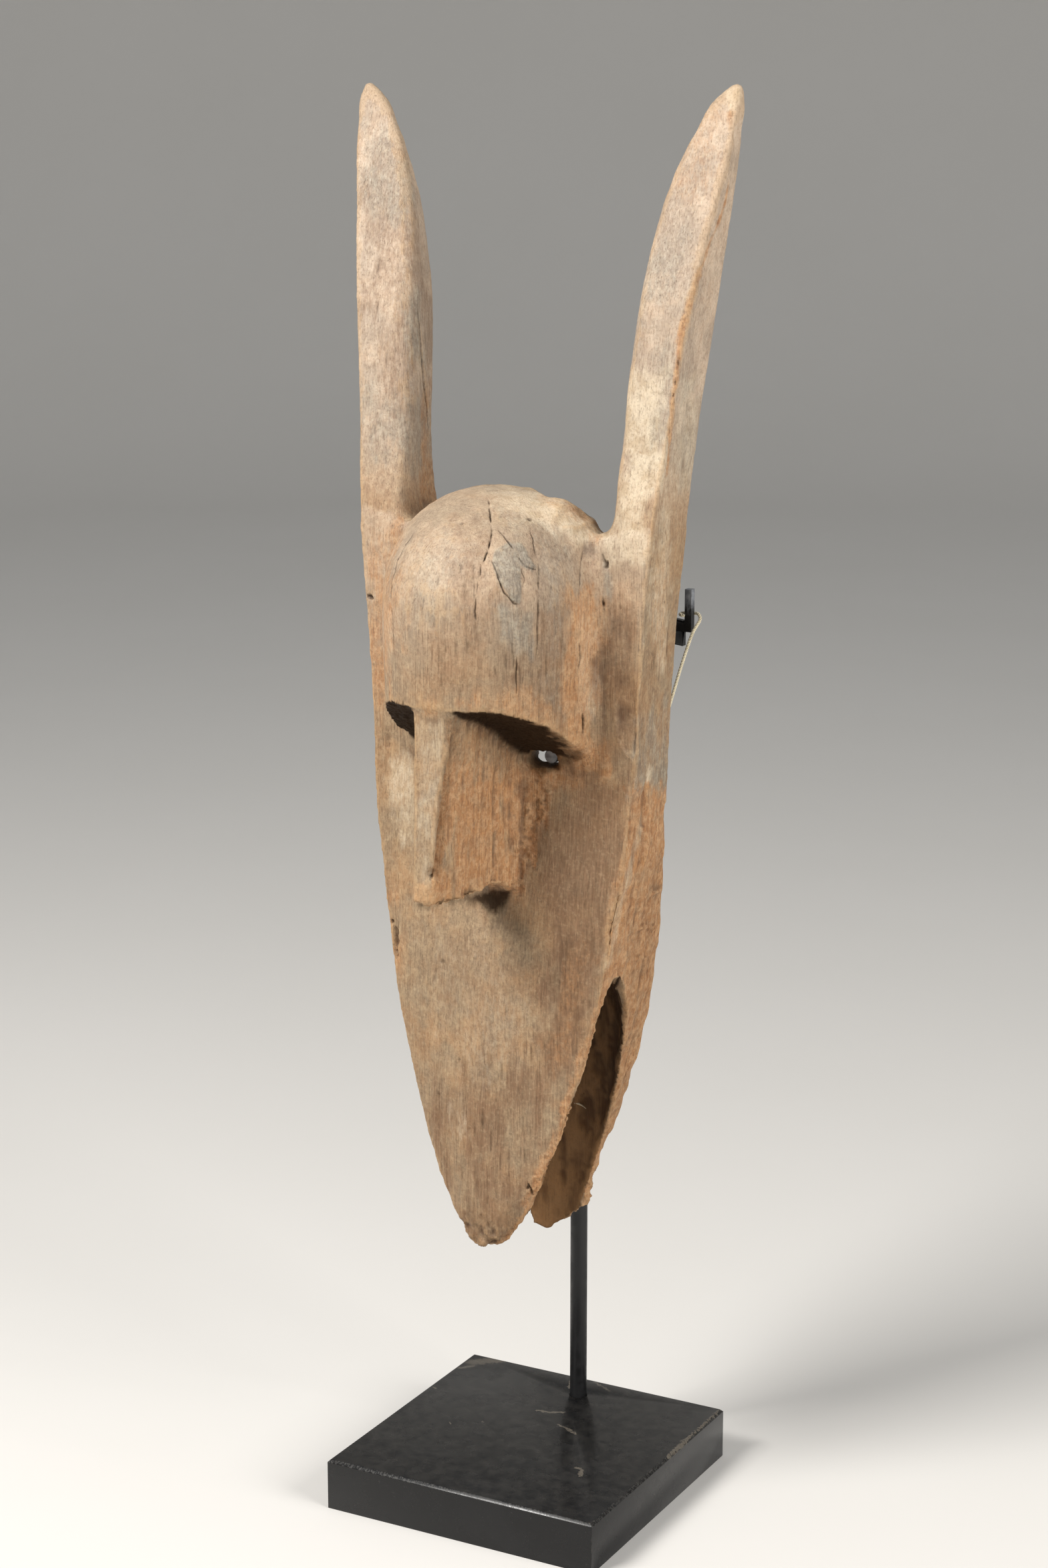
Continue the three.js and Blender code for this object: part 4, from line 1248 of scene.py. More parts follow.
def off_spot(places, centre, width, height):
    """How far out each point is from a spot that is so wide and high, with 1 at its edge."""
    away = places - centre
    return np.sqrt((away[:, 0] ** 2 + away[:, 1] ** 2) / width**2 + away[:, 2] ** 2 / height**2)


# Each pit is darkened too: partly dirt in it and partly painted shade.
for px, py, wide, high, depth, gloom in PITS.values():
    off = off_spot(points, on_wood(px, py), wide * MM, high * MM)
    off += PIT_FRAY * noise(points, 0.0016, PIT_SEED)
    points -= normals * (depth * MM * smoothstep(1.1, 0.2, off))[:, None]
    dark = np.maximum(dark, gloom * smoothstep(1.0, 0.3, off))
put_points(carved_mask, points)
specks = smoothstep(0.5, 1.1, rough) * worn["nose_fringe"]
# The dark layer also takes painted shade: the brow's underside, the patches of painted shade and a third of
# the nose bevel's line.
dark = np.maximum.reduce([dark, brow_underside, masks["painted_shade"], 0.33 * worn["shaded_nose_bevel"], 0.4 * specks])
print("cut", len(SPLITS), "splits and", len(PITS), "pits")

# %% [markdown]
# ### Thinning the mesh
#
# The skin now has far more faces than smooth wood needs. Decimating merges them where the surface is
# flat and keeps them in cracks and splinters. The masks ride along as attributes.

# %% Store the masks and thin the mesh
MOST_TRIANGLES = 196000
PALE_EAR_FEET = (545, 640)
PALE_EARS_FROM = 58
PALE_FOREHEAD = (470, 560)
PALE_FOREHEAD_FRONT = -30
PALE_LEANS = 0.35
PALE_LEANS_FROM = -20


def store(piece, name, values):
    attribute = piece.data.attributes.new(name, "FLOAT", "POINT")
    attribute.data.foreach_set("value", np.clip(values, 0, 1).astype(np.float32))


pale_ears = smoothstep(*PALE_EAR_FEET, height) * (np.abs(across) > PALE_EARS_FROM)
leaning = height + PALE_LEANS * np.maximum(-across, PALE_LEANS_FROM)
pale_forehead = 0.6 * smoothstep(*PALE_FOREHEAD, leaning) * (front < PALE_FOREHEAD_FRONT)
for name, values in {
    "raw": raw,
    "cool": masks["cool"],
    "film_and_highlight": masks["film_and_highlight"],
    "brown": masks["brown"],
    "dark": dark,
    "pale": np.maximum(pale_ears, pale_forehead) * outside,
    "inside": inside,
    "strokes": strokes,
}.items():
    store(carved_mask, name, values)
apply_modifier(carved_mask, "DECIMATE", ratio=MOST_TRIANGLES / triangles(carved_mask))
print("thinned to", triangles(carved_mask), "triangles")

# %% Worn edges, and crevices for painted shade, from the finished shape, in millimetres
EDGE_ROUNDS = 16
EDGES_STAND = (0.25, 1.1)
CREVICES_LIE = (0.12, 0.8)

points = points_of(carved_mask)
proud = standing_out(points, normals_of(carved_mask), edges_of(carved_mask), EDGE_ROUNDS)
store(carved_mask, "worn", smoothstep(EDGES_STAND[0] * MM, EDGES_STAND[1] * MM, proud))
store(carved_mask, "crevice_shade", smoothstep(CREVICES_LIE[0] * MM, CREVICES_LIE[1] * MM, -proud))

# %% A splinter that stands up in the mouth
SLIVER_ROOT = (860, 1650)
SLIVER_TIP = (877, 1659)
SLIVER_LIFTS = 2.5 * MM
SLIVER_BOWS = 0.8 * MM
SLIVER_RADII = (0.7, 0.5, 0.1)
SLIVER_RINGS = 7

root = on_wood(*SLIVER_ROOT)
tip = on_wood(*SLIVER_TIP)
out = np.array(camera.location) - tip
tip = tip + SLIVER_LIFTS * out / np.linalg.norm(out)
share = np.linspace(0, 1, SLIVER_RINGS)[:, None]
path = root + share * (tip - root) + SLIVER_BOWS * np.sin(math.pi * share) * (0, 0, 1)
sliver = tube("sliver", path, np.interp(share[:, 0], (0, 0.5, 1), SLIVER_RADII) * MM)
merge_doubles(sliver, DOUBLED, outwards=True)
store(sliver, "film_and_highlight", np.ones(len(sliver.data.vertices)))
join([carved_mask, sliver], "carved_mask")
alone(carved_mask)
bpy.ops.object.shade_smooth()
stands_for(carved_mask, "hyena_mask")

# %% [markdown]
# ## The base
#
# The stand's foot is a square block of black lacquered wood. Its top edge has a fine chamfer, which
# catches the light as one thin line. A cube is brought to size, its top edges are bevelled once at the
# chamfer's width, and a second tiny bevel softens what is left, because no lacquered edge is sharp.

# %% Block with a chamfer
BASE_CHAMFER = 1.6 * MM
FACES_THERE = 0.9

base_low, base_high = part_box("stand_base")
bpy.ops.mesh.primitive_cube_add(size=1, location=(base_low + base_high) / 2)
lacquered_base = newest("lacquered_base", base_high - base_low)
select_faces(lacquered_base, lambda middle, normal: normal.z > FACES_THERE)
with editing(lacquered_base):
    bpy.ops.mesh.bevel(offset=BASE_CHAMFER, segments=1, affect="EDGES")

# %% Socket for the rod
SOCKET_GAP = 0.3 * MM
SOCKET_SIDES = 48
EDGE_SOFTNESS = 0.25 * MM

rod_low, rod_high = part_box("stand_rod")
rod_radius = (rod_high.x - rod_low.x) / 2
bpy.ops.mesh.primitive_cylinder_add(
    vertices=SOCKET_SIDES,
    radius=rod_radius + SOCKET_GAP,
    depth=2 * (base_high.z - rod_low.z + SOCKET_GAP),
    location=(0, (rod_high.y + rod_low.y) / 2, base_high.z),
)
combine(lacquered_base, bpy.context.object, "DIFFERENCE")
soften_edges(lacquered_base, EDGE_SOFTNESS, 2, 0.6)
shade_round(lacquered_base, 25)
stands_for(lacquered_base, "stand_base")

# %% [markdown]
# ## The rod
#
# A plain steel rod stands in the base. It is a cylinder whose top edge is filed round, and its foot
# goes down into the socket.

# %% Painted rod
ROD_SIDES = 40
ROD_EDGE = 1.2 * MM

bpy.ops.mesh.primitive_cylinder_add(
    vertices=ROD_SIDES,
    radius=rod_radius,
    depth=rod_high.z - rod_low.z,
    location=(rod_low + rod_high) / 2,
)
painted_rod = newest("painted_rod")
soften_edges(painted_rod, ROD_EDGE, 4, 1.0)
shade_round(painted_rod, 30)
stands_for(painted_rod, "stand_rod")

# %% [markdown]
# ## The fork
#
# One round rod is bent into a fork, and on the real stand its two ends reach through the hollow back
# into the eye holes. The way to make it is the way it is bent: a circle is pulled out straight, spun
# round a corner, pulled across, spun again and pulled forward. The cut end is filed, and two beads of
# weld hold the fork to the upright rod.
#
# Known fault: the select mode is still faces here, and a bare circle has none, so the first pull only
# moves the circle. The prong for the eye hole on the -X side is missing, and the bend is left open
# there. Setting the select mode to edges before the first pull would make that prong.

# %% Rod bent into a fork
BEND = 16 * MM
BEND_STEPS = 9
FORK_SIDES = 28

fork_low, fork_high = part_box("eye_fork")
peg_radius = (fork_high.z - fork_low.z) / 2
peg_x = fork_high.x - peg_radius
peg_z = (fork_high.z + fork_low.z) / 2
bend_y = fork_high.y - peg_radius - BEND


def pull(offset):
    bpy.ops.mesh.extrude_region_move(TRANSFORM_OT_translate={"value": offset})


bpy.ops.mesh.primitive_circle_add(
    vertices=FORK_SIDES,
    radius=peg_radius,
    location=(-peg_x, fork_low.y, peg_z),
    rotation=(math.pi / 2, 0, 0),
)
painted_fork = newest("painted_fork")
with editing(painted_fork):
    bpy.ops.mesh.select_all(action="SELECT")
    pull((0, bend_y - fork_low.y, 0))
    for corner_x in (BEND - peg_x, peg_x - BEND):
        corner = (corner_x, bend_y, peg_z)
        bpy.ops.mesh.spin(steps=BEND_STEPS, angle=math.pi / 2, center=corner, axis=(0, 0, 1))
        if corner_x < 0:
            pull((2 * (peg_x - BEND), 0, 0))
    pull((0, fork_low.y - bend_y, 0))
print("the fork spans", [round(size / MM, 1) for size in painted_fork.dimensions], "mm")

# %% Cut end, closed and filed
FILED = 0.6 * MM
VERY_NEAR = 1e-5

fork_points = painted_fork.data.vertices
select_none(painted_fork, "EDGE")
for edge in painted_fork.data.edges:
    edge.select = all(fork_points[i].co.y < fork_low.y + VERY_NEAR for i in edge.vertices)
with editing(painted_fork):
    bpy.ops.mesh.edge_face_add()
merge_doubles(painted_fork, DOUBLED, outwards=True)
select_faces(painted_fork, lambda middle, normal: normal.y < -FACES_THERE and middle.y < fork_low.y + FILED)
with editing(painted_fork):
    bpy.ops.mesh.bevel(offset=FILED, segments=3, affect="EDGES")

# %% Weld beads
BEAD_X = 2.6 * MM
FORK_BEAD_SIZE = Vector((2.2, 1.6, 3.4)) * MM
FORK_BEAD_SEED = 90
LUMP_SIZE = 1.6 * MM
LUMP_HEIGHT = 0.35 * MM

weld_y = (rod_low.y + fork_high.y) / 2


def add_welds(piece, level, size, seed):
    """Runs a lumpy bead of weld into a piece on either side of the rod."""
    for side in (-1, 1):
        place = (side * BEAD_X, weld_y, level)
        bpy.ops.mesh.primitive_uv_sphere_add(segments=20, ring_count=14, radius=1, location=place)
        bead = newest("weld_bead", size)
        lumps = points_of(bead)
        lumps += normals_of(bead) * (LUMP_HEIGHT * noise(lumps, LUMP_SIZE, seed + side))[:, None]
        put_points(bead, lumps)
        combine(piece, bead, "UNION")


add_welds(painted_fork, peg_z, FORK_BEAD_SIZE, FORK_BEAD_SEED)
shade_round(painted_fork, 30)
stands_for(painted_fork, "eye_fork")

# %% [markdown]
# ## The bar
#
# Behind the rim a flat bar is bowed round the mask's back, and each of its ends is cut narrow and
# turned up into a hook. The bar is one rectangle pulled along the bow in short steps. A hook is a small
# block with its foot pulled sideways and its tip pulled up. Hooks and bar become one piece with a
# boolean, and a bevel rounds what the file would have rounded.

# %% Bowed bar
BAR_TOP = 512 * MM
BAR_THICKNESS = 4 * MM
BAR_END = 78.5 * MM
BOW_POWER = 1.6
BAR_STEPS = 24

bar_low, bar_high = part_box("cradle_bar")
bar_middle_y = bar_high.y - BAR_THICKNESS
bar_height = BAR_TOP - bar_low.z
bar_level = bar_low.z + bar_height / 2


def bow_y(across):
    """Where the bar's near face stands at a distance from the middle."""
    return bar_middle_y + (bar_low.y - bar_middle_y) * (abs(across) / BAR_END) ** BOW_POWER


bpy.ops.mesh.primitive_plane_add(
    size=1,
    location=(-BAR_END, bow_y(BAR_END) + BAR_THICKNESS / 2, bar_level),
    rotation=(0, math.pi / 2, 0),
)
painted_bar = newest("painted_bar", (bar_height, BAR_THICKNESS, 1))
stops = [BAR_END * (2 * step / BAR_STEPS - 1) for step in range(BAR_STEPS + 1)]
with editing(painted_bar):
    bpy.ops.mesh.select_all(action="SELECT")
    for start, stop in itertools.pairwise(stops):
        pull((stop - start, bow_y(stop) - bow_y(start), 0))
merge_doubles(painted_bar, DOUBLED, outwards=True)
print("the bar is pulled in", len(stops) - 1, "steps")

# %% Hooks and welds
FOOT_START = 72.5 * MM
FOOT_LOW = 506 * MM
FOOT_HIGH = 511 * MM
BAR_EDGE = 0.5 * MM
BAR_BEAD_SIZE = Vector((2.0, 1.6, 6.4)) * MM
BAR_BEAD_SEED = 94

for side in (-1, 1):
    tip_x = side * (bar_high.x - BAR_THICKNESS / 2)
    place = (tip_x, bar_low.y + BAR_THICKNESS / 2, (FOOT_LOW + FOOT_HIGH) / 2)
    bpy.ops.mesh.primitive_cube_add(size=1, location=place)
    hook = newest("hook", (BAR_THICKNESS, BAR_THICKNESS, FOOT_HIGH - FOOT_LOW))
    select_faces(hook, lambda middle, normal: normal.x * side < -FACES_THERE)
    with editing(hook):
        pull((side * (FOOT_START - bar_high.x + BAR_THICKNESS), 0, 0))
    select_faces(hook, lambda middle, normal: normal.z > FACES_THERE and abs(middle.x - tip_x) < VERY_NEAR)
    with editing(hook):
        pull((0, 0, bar_high.z - FOOT_HIGH))
    combine(painted_bar, hook, "UNION")
soften_edges(painted_bar, BAR_EDGE, 2, 0.7)
add_welds(painted_bar, bar_level, BAR_BEAD_SIZE, BAR_BEAD_SEED)
shade_round(painted_bar, 30)
stands_for(painted_bar, "cradle_bar")

# %% [markdown]
# ## Finishes
#
# Every finish is built from the same few effects: long fibres, cloudy stains, worn edges and a little
# dust. Each effect is a node group with its own inputs, made once and used in several materials with
# other values. Patterns are in object coordinates, in metres, so that they sit at their real size.


# %% Helpers for nodes
def colour(code):
    """A colour from its six-digit code, made linear for the shader."""
    parts = [int(code[i : i + 2], 16) / 255 for i in (0, 2, 4)]
    return (*[p / 12.92 if p <= 0.04045 else ((p + 0.055) / 1.055) ** 2.4 for p in parts], 1)


def give(tree, node, values):
    """Gives each named input of a node a value or another node's output."""
    for name, value in values.items():
        if isinstance(value, bpy.types.NodeSocket):
            tree.links.new(value, node.inputs[name])
        else:
            node.inputs[name].default_value = value


def spaced(values):
    """The same values under the names that sockets have, with spaces for underscores."""
    return {name.replace("_", " "): value for name, value in values.items()}


def put(tree, kind, values=None, **settings):
    """Adds a node, sets its choices and gives it its inputs."""
    made = tree.nodes.new("ShaderNode" + kind)
    for name, value in settings.items():
        setattr(made, name, value)
    give(tree, made, values or {})
    return made


def finish(tree, shader, **values):
    """Sets or links the shader's sockets. Underscores stand for spaces."""
    give(tree, shader, spaced(values))


# %% Helpers for numbers, places and colours
def calc(tree, operation, *values, clamp=False):
    named = dict(enumerate(values))
    return put(tree, "Math", named, operation=operation, use_clamp=clamp).outputs[0]


def vector(tree, operation, *values, result="Vector"):
    named = dict(enumerate(values))
    return put(tree, "VectorMath", named, operation=operation).outputs[result]


def scaled(tree, direction, size):
    values = {0: direction, "Scale": size}
    return put(tree, "VectorMath", values, operation="SCALE").outputs[0]


def spread(tree, value, low, high, to_low=0.0, to_high=1.0):
    """Stretches a value from one range to another, smoothly and clamped."""
    values = {0: value, 1: low, 2: high, 3: to_low, 4: to_high}
    return put(tree, "MapRange", values, interpolation_type="SMOOTHSTEP").outputs[0]


def mix(tree, factor, first, second):
    """Blends two colours. Each is a six-digit code or another node's output."""
    tones = [colour(tone) if isinstance(tone, str) else tone for tone in (first, second)]
    return put(tree, "Mix", {0: factor, 6: tones[0], 7: tones[1]}, data_type="RGBA").outputs[2]


def layered(tree, ground, layers):
    """Lays tones over a ground in turn. Each layer is an amount, a mask and a tone."""
    for amount, mask, tone in layers:
        ground = mix(tree, calc(tree, "MULTIPLY", mask, amount), ground, tone)
    return ground


# %% Helpers for patterns
def attribute(tree, name):
    return put(tree, "Attribute", attribute_name=name).outputs["Fac"]


def place_of(tree):
    return put(tree, "TexCoord").outputs["Object"]


def speckle(tree, place, per_metre, detail=3.0, rough=0.55):
    values = {"Vector": place, "Scale": per_metre, "Detail": detail, "Roughness": rough}
    return put(tree, "TexNoise", values).outputs[0]


def shaken(tree, place, per_metre, detail, size):
    """A place moved about by noise, so that what is drawn there isn't straight."""
    values = {"Vector": place, "Scale": per_metre, "Detail": detail}
    sway = vector(tree, "ADD", put(tree, "TexNoise", values).outputs["Color"], (-0.5, -0.5, -0.5))
    return vector(tree, "ADD", place, scaled(tree, sway, size))


def stretched(tree, place, width, length):
    """Coordinates in which one unit is so wide across the grain and so long along it, in mm."""
    across = calc(tree, "DIVIDE", 1 / MM, width)
    along = calc(tree, "DIVIDE", 1 / MM, length)
    scale = put(tree, "CombineXYZ", {0: across, 1: across, 2: along}).outputs[0]
    return vector(tree, "MULTIPLY", place, scale)


def bump(tree, height, distance):
    return put(tree, "Bump", {"Height": height, "Distance": distance, "Strength": 1.0}).outputs["Normal"]


# %% Helpers for groups and materials
def new_group(name, inputs, outputs):
    """A node group with named inputs and outputs, and its two end nodes."""
    group = bpy.data.node_groups.new(name, "ShaderNodeTree")
    for label, value in inputs.items():
        socket = group.interface.new_socket(label, in_out="INPUT", socket_type="NodeSocketFloat")
        socket.default_value = value
    for label in outputs:
        group.interface.new_socket(label, in_out="OUTPUT", socket_type="NodeSocketFloat")
    given = group.nodes.new("NodeGroupInput")
    result = group.nodes.new("NodeGroupOutput")
    return group, given.outputs, result.inputs


def use(tree, group, **values):
    """Places a group in a material and returns its outputs."""
    made = tree.nodes.new("ShaderNodeGroup")
    made.node_tree = group
    give(tree, made, values)
    return made.outputs


def new_material(name):
    """A material, its nodes and its principled shader."""
    material = bpy.data.materials.new(name)
    material.use_nodes = True
    tree = material.node_tree
    return material, tree, tree.nodes["Principled BSDF"]


# %% [markdown]
# **Fibres.** Wood is a bundle of fibres that run up the block. Noise that is squeezed across and
# stretched along them gives streaks of lighter and darker wood, and a finer, sparser noise gives the
# pores, which show as short dark dashes on the sides and as dots on a cut end.

# %% Group for fibres
FIBRE_INPUTS = {"Width": 1.2, "Length": 30.0, "Wander": 5.0}
PORE_WIDTH = 0.55
PORE_LENGTH = 9.0
SWAYS_A_METRE = 16.0

wood_fibres, given, result = new_group("wood_fibres", FIBRE_INPUTS, ("Streaks", "Pores", "Height"))
tree = wood_fibres
place = place_of(tree)
moved = shaken(tree, place, SWAYS_A_METRE, 2.0, calc(tree, "MULTIPLY", given["Wander"], MM))
streak_place = stretched(tree, moved, given["Width"], given["Length"])
streaks = spread(tree, speckle(tree, streak_place, 1.0, 5.0, 0.62), 0.28, 0.72)
pore_place = stretched(tree, moved, PORE_WIDTH, PORE_LENGTH)
pores = spread(tree, speckle(tree, pore_place, 1.0, 2.0, 0.5), 0.60, 0.72)
ridges = calc(tree, "MULTIPLY_ADD", streaks, 0.6, 0.4)
sunk_pores = calc(tree, "SUBTRACT", ridges, calc(tree, "MULTIPLY", pores, 0.5))
tree.links.new(streaks, result["Streaks"])
tree.links.new(pores, result["Pores"])
tree.links.new(sunk_pores, result["Height"])
print(wood_fibres.name, "has", len(tree.nodes), "nodes")

# %% [markdown]
# **Stains.** A cloud of noise in two sizes, with how much of the surface it covers as an input.

# %% Group for stains
CLOUD_SOFTNESS = 0.09
SPECKS_A_METRE = 900.0

stains, given, result = new_group("stains", {"Size": 20.0, "Cover": 0.5}, ("Cloud", "Specks"))
tree = stains
place = place_of(tree)
per_metre = calc(tree, "DIVIDE", 1 / MM, given["Size"])
cloud = speckle(tree, place, per_metre, 6.0, 0.6)
edge = spread(tree, calc(tree, "SUBTRACT", 1.0, given["Cover"]), 0.0, 1.0, 0.3, 0.7)
low_edge = calc(tree, "SUBTRACT", edge, CLOUD_SOFTNESS)
high_edge = calc(tree, "ADD", edge, CLOUD_SOFTNESS)
tree.links.new(spread(tree, cloud, low_edge, high_edge), result["Cloud"])
specks = spread(tree, speckle(tree, place, SPECKS_A_METRE, 2.0), 0.66, 0.74)
tree.links.new(specks, result["Specks"])
print(stains.name, "has", len(tree.nodes), "nodes")

# %% [markdown]
# **Worn places.** A mask that was stored on the points is soft. Noise pushes its edge in and out, so
# that it frays as real wear does.

# %% Group for frayed masks
FRAY_INPUTS = {"Mask": 0.0, "Grain": 1.5, "Fray": 0.5, "Softness": 0.2}
GRAIN_LENGTH = 3.5

frayed_mask, given, result = new_group("frayed_mask", FRAY_INPUTS, ("Mask",))
tree = frayed_mask
long_grain = calc(tree, "MULTIPLY", given["Grain"], GRAIN_LENGTH)
place = stretched(tree, place_of(tree), given["Grain"], long_grain)
ragged = calc(tree, "SUBTRACT", speckle(tree, place, 1.0, 5.0, 0.65), 0.5)
ragged = calc(tree, "MULTIPLY", ragged, given["Fray"])
ragged = calc(tree, "MULTIPLY_ADD", ragged, 3.0, given["Mask"])
low_edge = calc(tree, "SUBTRACT", 0.5, given["Softness"])
high_edge = calc(tree, "ADD", 0.5, given["Softness"])
ragged = spread(tree, ragged, low_edge, high_edge)
only_there = spread(tree, given["Mask"], 0.02, 0.3)
tree.links.new(calc(tree, "MULTIPLY", ragged, only_there), result["Mask"])
print(frayed_mask.name, "has", len(tree.nodes), "nodes")

# %% [markdown]
# **Dust.** It settles where a surface looks up, in patches.

# %% Group for dust
PATCHES_A_METRE = 140.0

dust, given, result = new_group("dust", {"Amount": 0.4}, ("Mask",))
tree = dust
upward = put(tree, "SeparateXYZ", {0: put(tree, "NewGeometry").outputs["Normal"]}).outputs[2]
dusty_patches = speckle(tree, place_of(tree), PATCHES_A_METRE, 5.0, 0.7)
settles = spread(tree, upward, 0.35, 1.0)
settles = calc(tree, "MULTIPLY", settles, spread(tree, dusty_patches, 0.3, 0.7))
tree.links.new(calc(tree, "MULTIPLY", settles, given["Amount"]), result["Mask"])
print(dust.name, "has", len(tree.nodes), "nodes")

# %% [markdown]
# ### Old wood
#
# The colour is laid on in layers. First comes the brown wood with its streaks, under a grey weathered skin.
# Over it go a paler tone on the ears and on the forehead, most towards its upper left, brown patches, some
# of them painted shade, a pale dusty film with painted highlights on some ridges and on the forehead's
# left, and patches that went blue-grey. Breaks then show raw orange wood, rubbed edges and flecks are
# paler, and the hollows get painted shade, with painted highlights on the ridges between the gouge strokes.
# Pores, grit, specks, painted shade in crevices, dust and the dark layer come last: the dark of the splits
# and pits, partly painted shade, and painted shade under the brow and the nose.

# %% Patterns of the mask's wood
old_wood, tree, shader = new_material("old_wood")
fine = use(tree, wood_fibres, Width=1.0, Length=30.0, Wander=5.0)
broad = use(tree, wood_fibres, Width=6.0, Length=90.0, Wander=10.0)
weather = use(tree, stains, Size=34.0, Cover=0.5)
blotches = use(tree, stains, Size=9.0, Cover=0.42)["Cloud"]
dabs = use(tree, stains, Size=3.5, Cover=0.45)["Cloud"]
grit = use(tree, stains, Size=1.4, Cover=0.38)["Cloud"]
flecks = use(tree, stains, Size=2.0, Cover=0.34)["Cloud"]
streaks = fine["Streaks"]
broad_streaks = broad["Streaks"]


def painted(name, grain, fray, softness):
    """A stored mask with its border frayed."""
    mask = attribute(tree, name)
    return use(tree, frayed_mask, Mask=mask, Grain=grain, Fray=fray, Softness=softness)["Mask"]


# %% Tones of the wood, each with its own layers
grey_skin = mix(tree, streaks, "726351", "968369")
pale_tone = layered(tree, mix(tree, broad_streaks, "a98e77", "c0a992"), [
    (0.5, blotches, "9a8876"),
    (0.4, dabs, "cdbba6"),
    (0.35, streaks, "cfbca4"),
    (0.6, weather["Cloud"], mix(tree, streaks, "857464", "a39281")),
])
brown_tone = mix(tree, streaks, "66492f", "84644a")
film_tone = mix(tree, blotches, "d5c5ab", "bea98b")
cool_tone = layered(tree, mix(tree, streaks, "6a645b", "918b7e"), [
    (0.6, dabs, "aaa595"),
])
raw_tone = layered(tree, mix(tree, streaks, "8d5d3a", "bd8b5a"), [
    (0.5, broad_streaks, "b28258"),
    (0.6, blotches, "a1805f"),
    (0.45, dabs, "cfa87f"),
])
# Painted shade in the hollows, near black, with painted highlight on the stroke ridges.
hollow_shade_and_highlight_tone = layered(tree, mix(tree, streaks, "27160a", "3b2411"), [
    (0.5, blotches, "4f3319"),
    (0.8, attribute(tree, "strokes"), "83603f"),
])

# %% Layers of the wood, from the lowest to the topmost
raw_mask = painted("raw", 1.6, 0.4, 0.45)
wood = layered(tree, mix(tree, broad_streaks, "846649", "a07e5b"), [
    (0.5, streaks, "ae8d69"),
    (0.7, weather["Cloud"], grey_skin),
    (0.35, blotches, "866649"),
    (0.3, dabs, "b39a78"),
    (1.0, attribute(tree, "pale"), pale_tone),
    (0.9, painted("brown", 2.0, 0.35, 0.5), brown_tone),
    (0.8, painted("film_and_highlight", 1.8, 0.35, 0.5), film_tone),
    (0.75, painted("cool", 2.4, 0.35, 0.5), cool_tone),
    (0.85, raw_mask, raw_tone),
    (0.3, painted("worn", 1.0, 0.5, 0.3), "bd9a70"),
    (0.13, flecks, "d8c19c"),
    # Painted shade in the hollows.
    (0.9, attribute(tree, "inside"), hollow_shade_and_highlight_tone),
    (0.3, fine["Pores"], "55402e"),
    (0.28, grit, "58432f"),
    (0.45, weather["Specks"], "6b5440"),
    # Painted shade in the crevices.
    (0.5, attribute(tree, "crevice_shade"), "4a3020"),
    (1.0, use(tree, dust, Amount=0.25)["Mask"], "cbb697"),
    # Dark layer: dirt and the dark of splits and pits, with painted shade under the brow and the nose, in
    # the eye socket and on the shaded flanks.
    (0.95, attribute(tree, "dark"), "1d1007"),
])

# %% Roughness, gloss and the closest grain
WOOD_BUMP = 0.28 * MM

roughness = calc(tree, "MULTIPLY_ADD", streaks, -0.1, 0.58)
roughness = calc(tree, "MULTIPLY_ADD", raw_mask, 0.25, roughness)
dull = calc(tree, "MAXIMUM", attribute(tree, "inside"), attribute(tree, "dark"))
finish(
    tree,
    shader,
    Base_Color=wood,
    Roughness=roughness,
    Specular_IOR_Level=calc(tree, "MULTIPLY_ADD", dull, -0.35, 0.4),
    Normal=bump(tree, fine["Height"], WOOD_BUMP),
)
print(old_wood.name, "has", len(tree.nodes), "nodes")

# %% [markdown]
# ### Black lacquer
#
# Lacquer is smooth and deep, with the faint waves of a brush. Its chamfer is painted grey all round, partly
# for paint thinned by knocks and partly as painted highlight along that edge. A little dust lies on it,
# with dull scuffs where the photograph shows them.

# %% Scuffs on top of the base, as pixels and a reach in millimetres
SCUFFS = {
    "left_corner": ([(708, 2038), (748, 2035)], 8.0),
    "beside_left_corner": ([(688, 2047), (706, 2044)], 3.0),
    "hook_high": ([(852, 2077), (854, 2066), (884, 2059)], 1.9),
    "dash_high": ([(890, 2068), (912, 2080)], 1.7),
    "curve_middle": ([(804, 2110), (820, 2113), (843, 2113)], 1.9),
    "curve_low": ([(836, 2132), (848, 2137), (861, 2145)], 1.9),
    "hook_low": ([(862, 2196), (871, 2199), (868, 2208)], 2.2),
    "right_edge": ([(1002, 2178), (1028, 2153)], 3.2),
    "right_edge_high": ([(1028, 2153), (1083, 2103)], 1.7),
    "left_dot": ([(649, 2076), (650, 2077)], 1.5),
    "low_dot": ([(673, 2128), (674, 2129)], 1.2),
    "middle_dot": ([(722, 2127), (723, 2128)], 1.2),
}


def on_base(px, py):
    """The point at a pixel on the plane of the base's top."""
    aim = sight(px, py)
    return camera.location + aim * ((base_high.z - camera.location.z) / aim.z)


def near_line(tree, place, start, end, reach):
    """A mask that fades out at a distance from the line between two points."""
    step = end - start
    away = vector(tree, "SUBTRACT", place, start)
    share = vector(tree, "DOT_PRODUCT", away, step / step.length_squared, result="Value")
    share = calc(tree, "MULTIPLY", share, 1.0, clamp=True)
    off = vector(tree, "DISTANCE", away, scaled(tree, step, share), result="Value")
    return spread(tree, off, 0.0, reach, 1.0, 0.0)


# %% Masks of the base
SHAKES_A_METRE = 400.0
SHAKEN_BY = 5 * MM

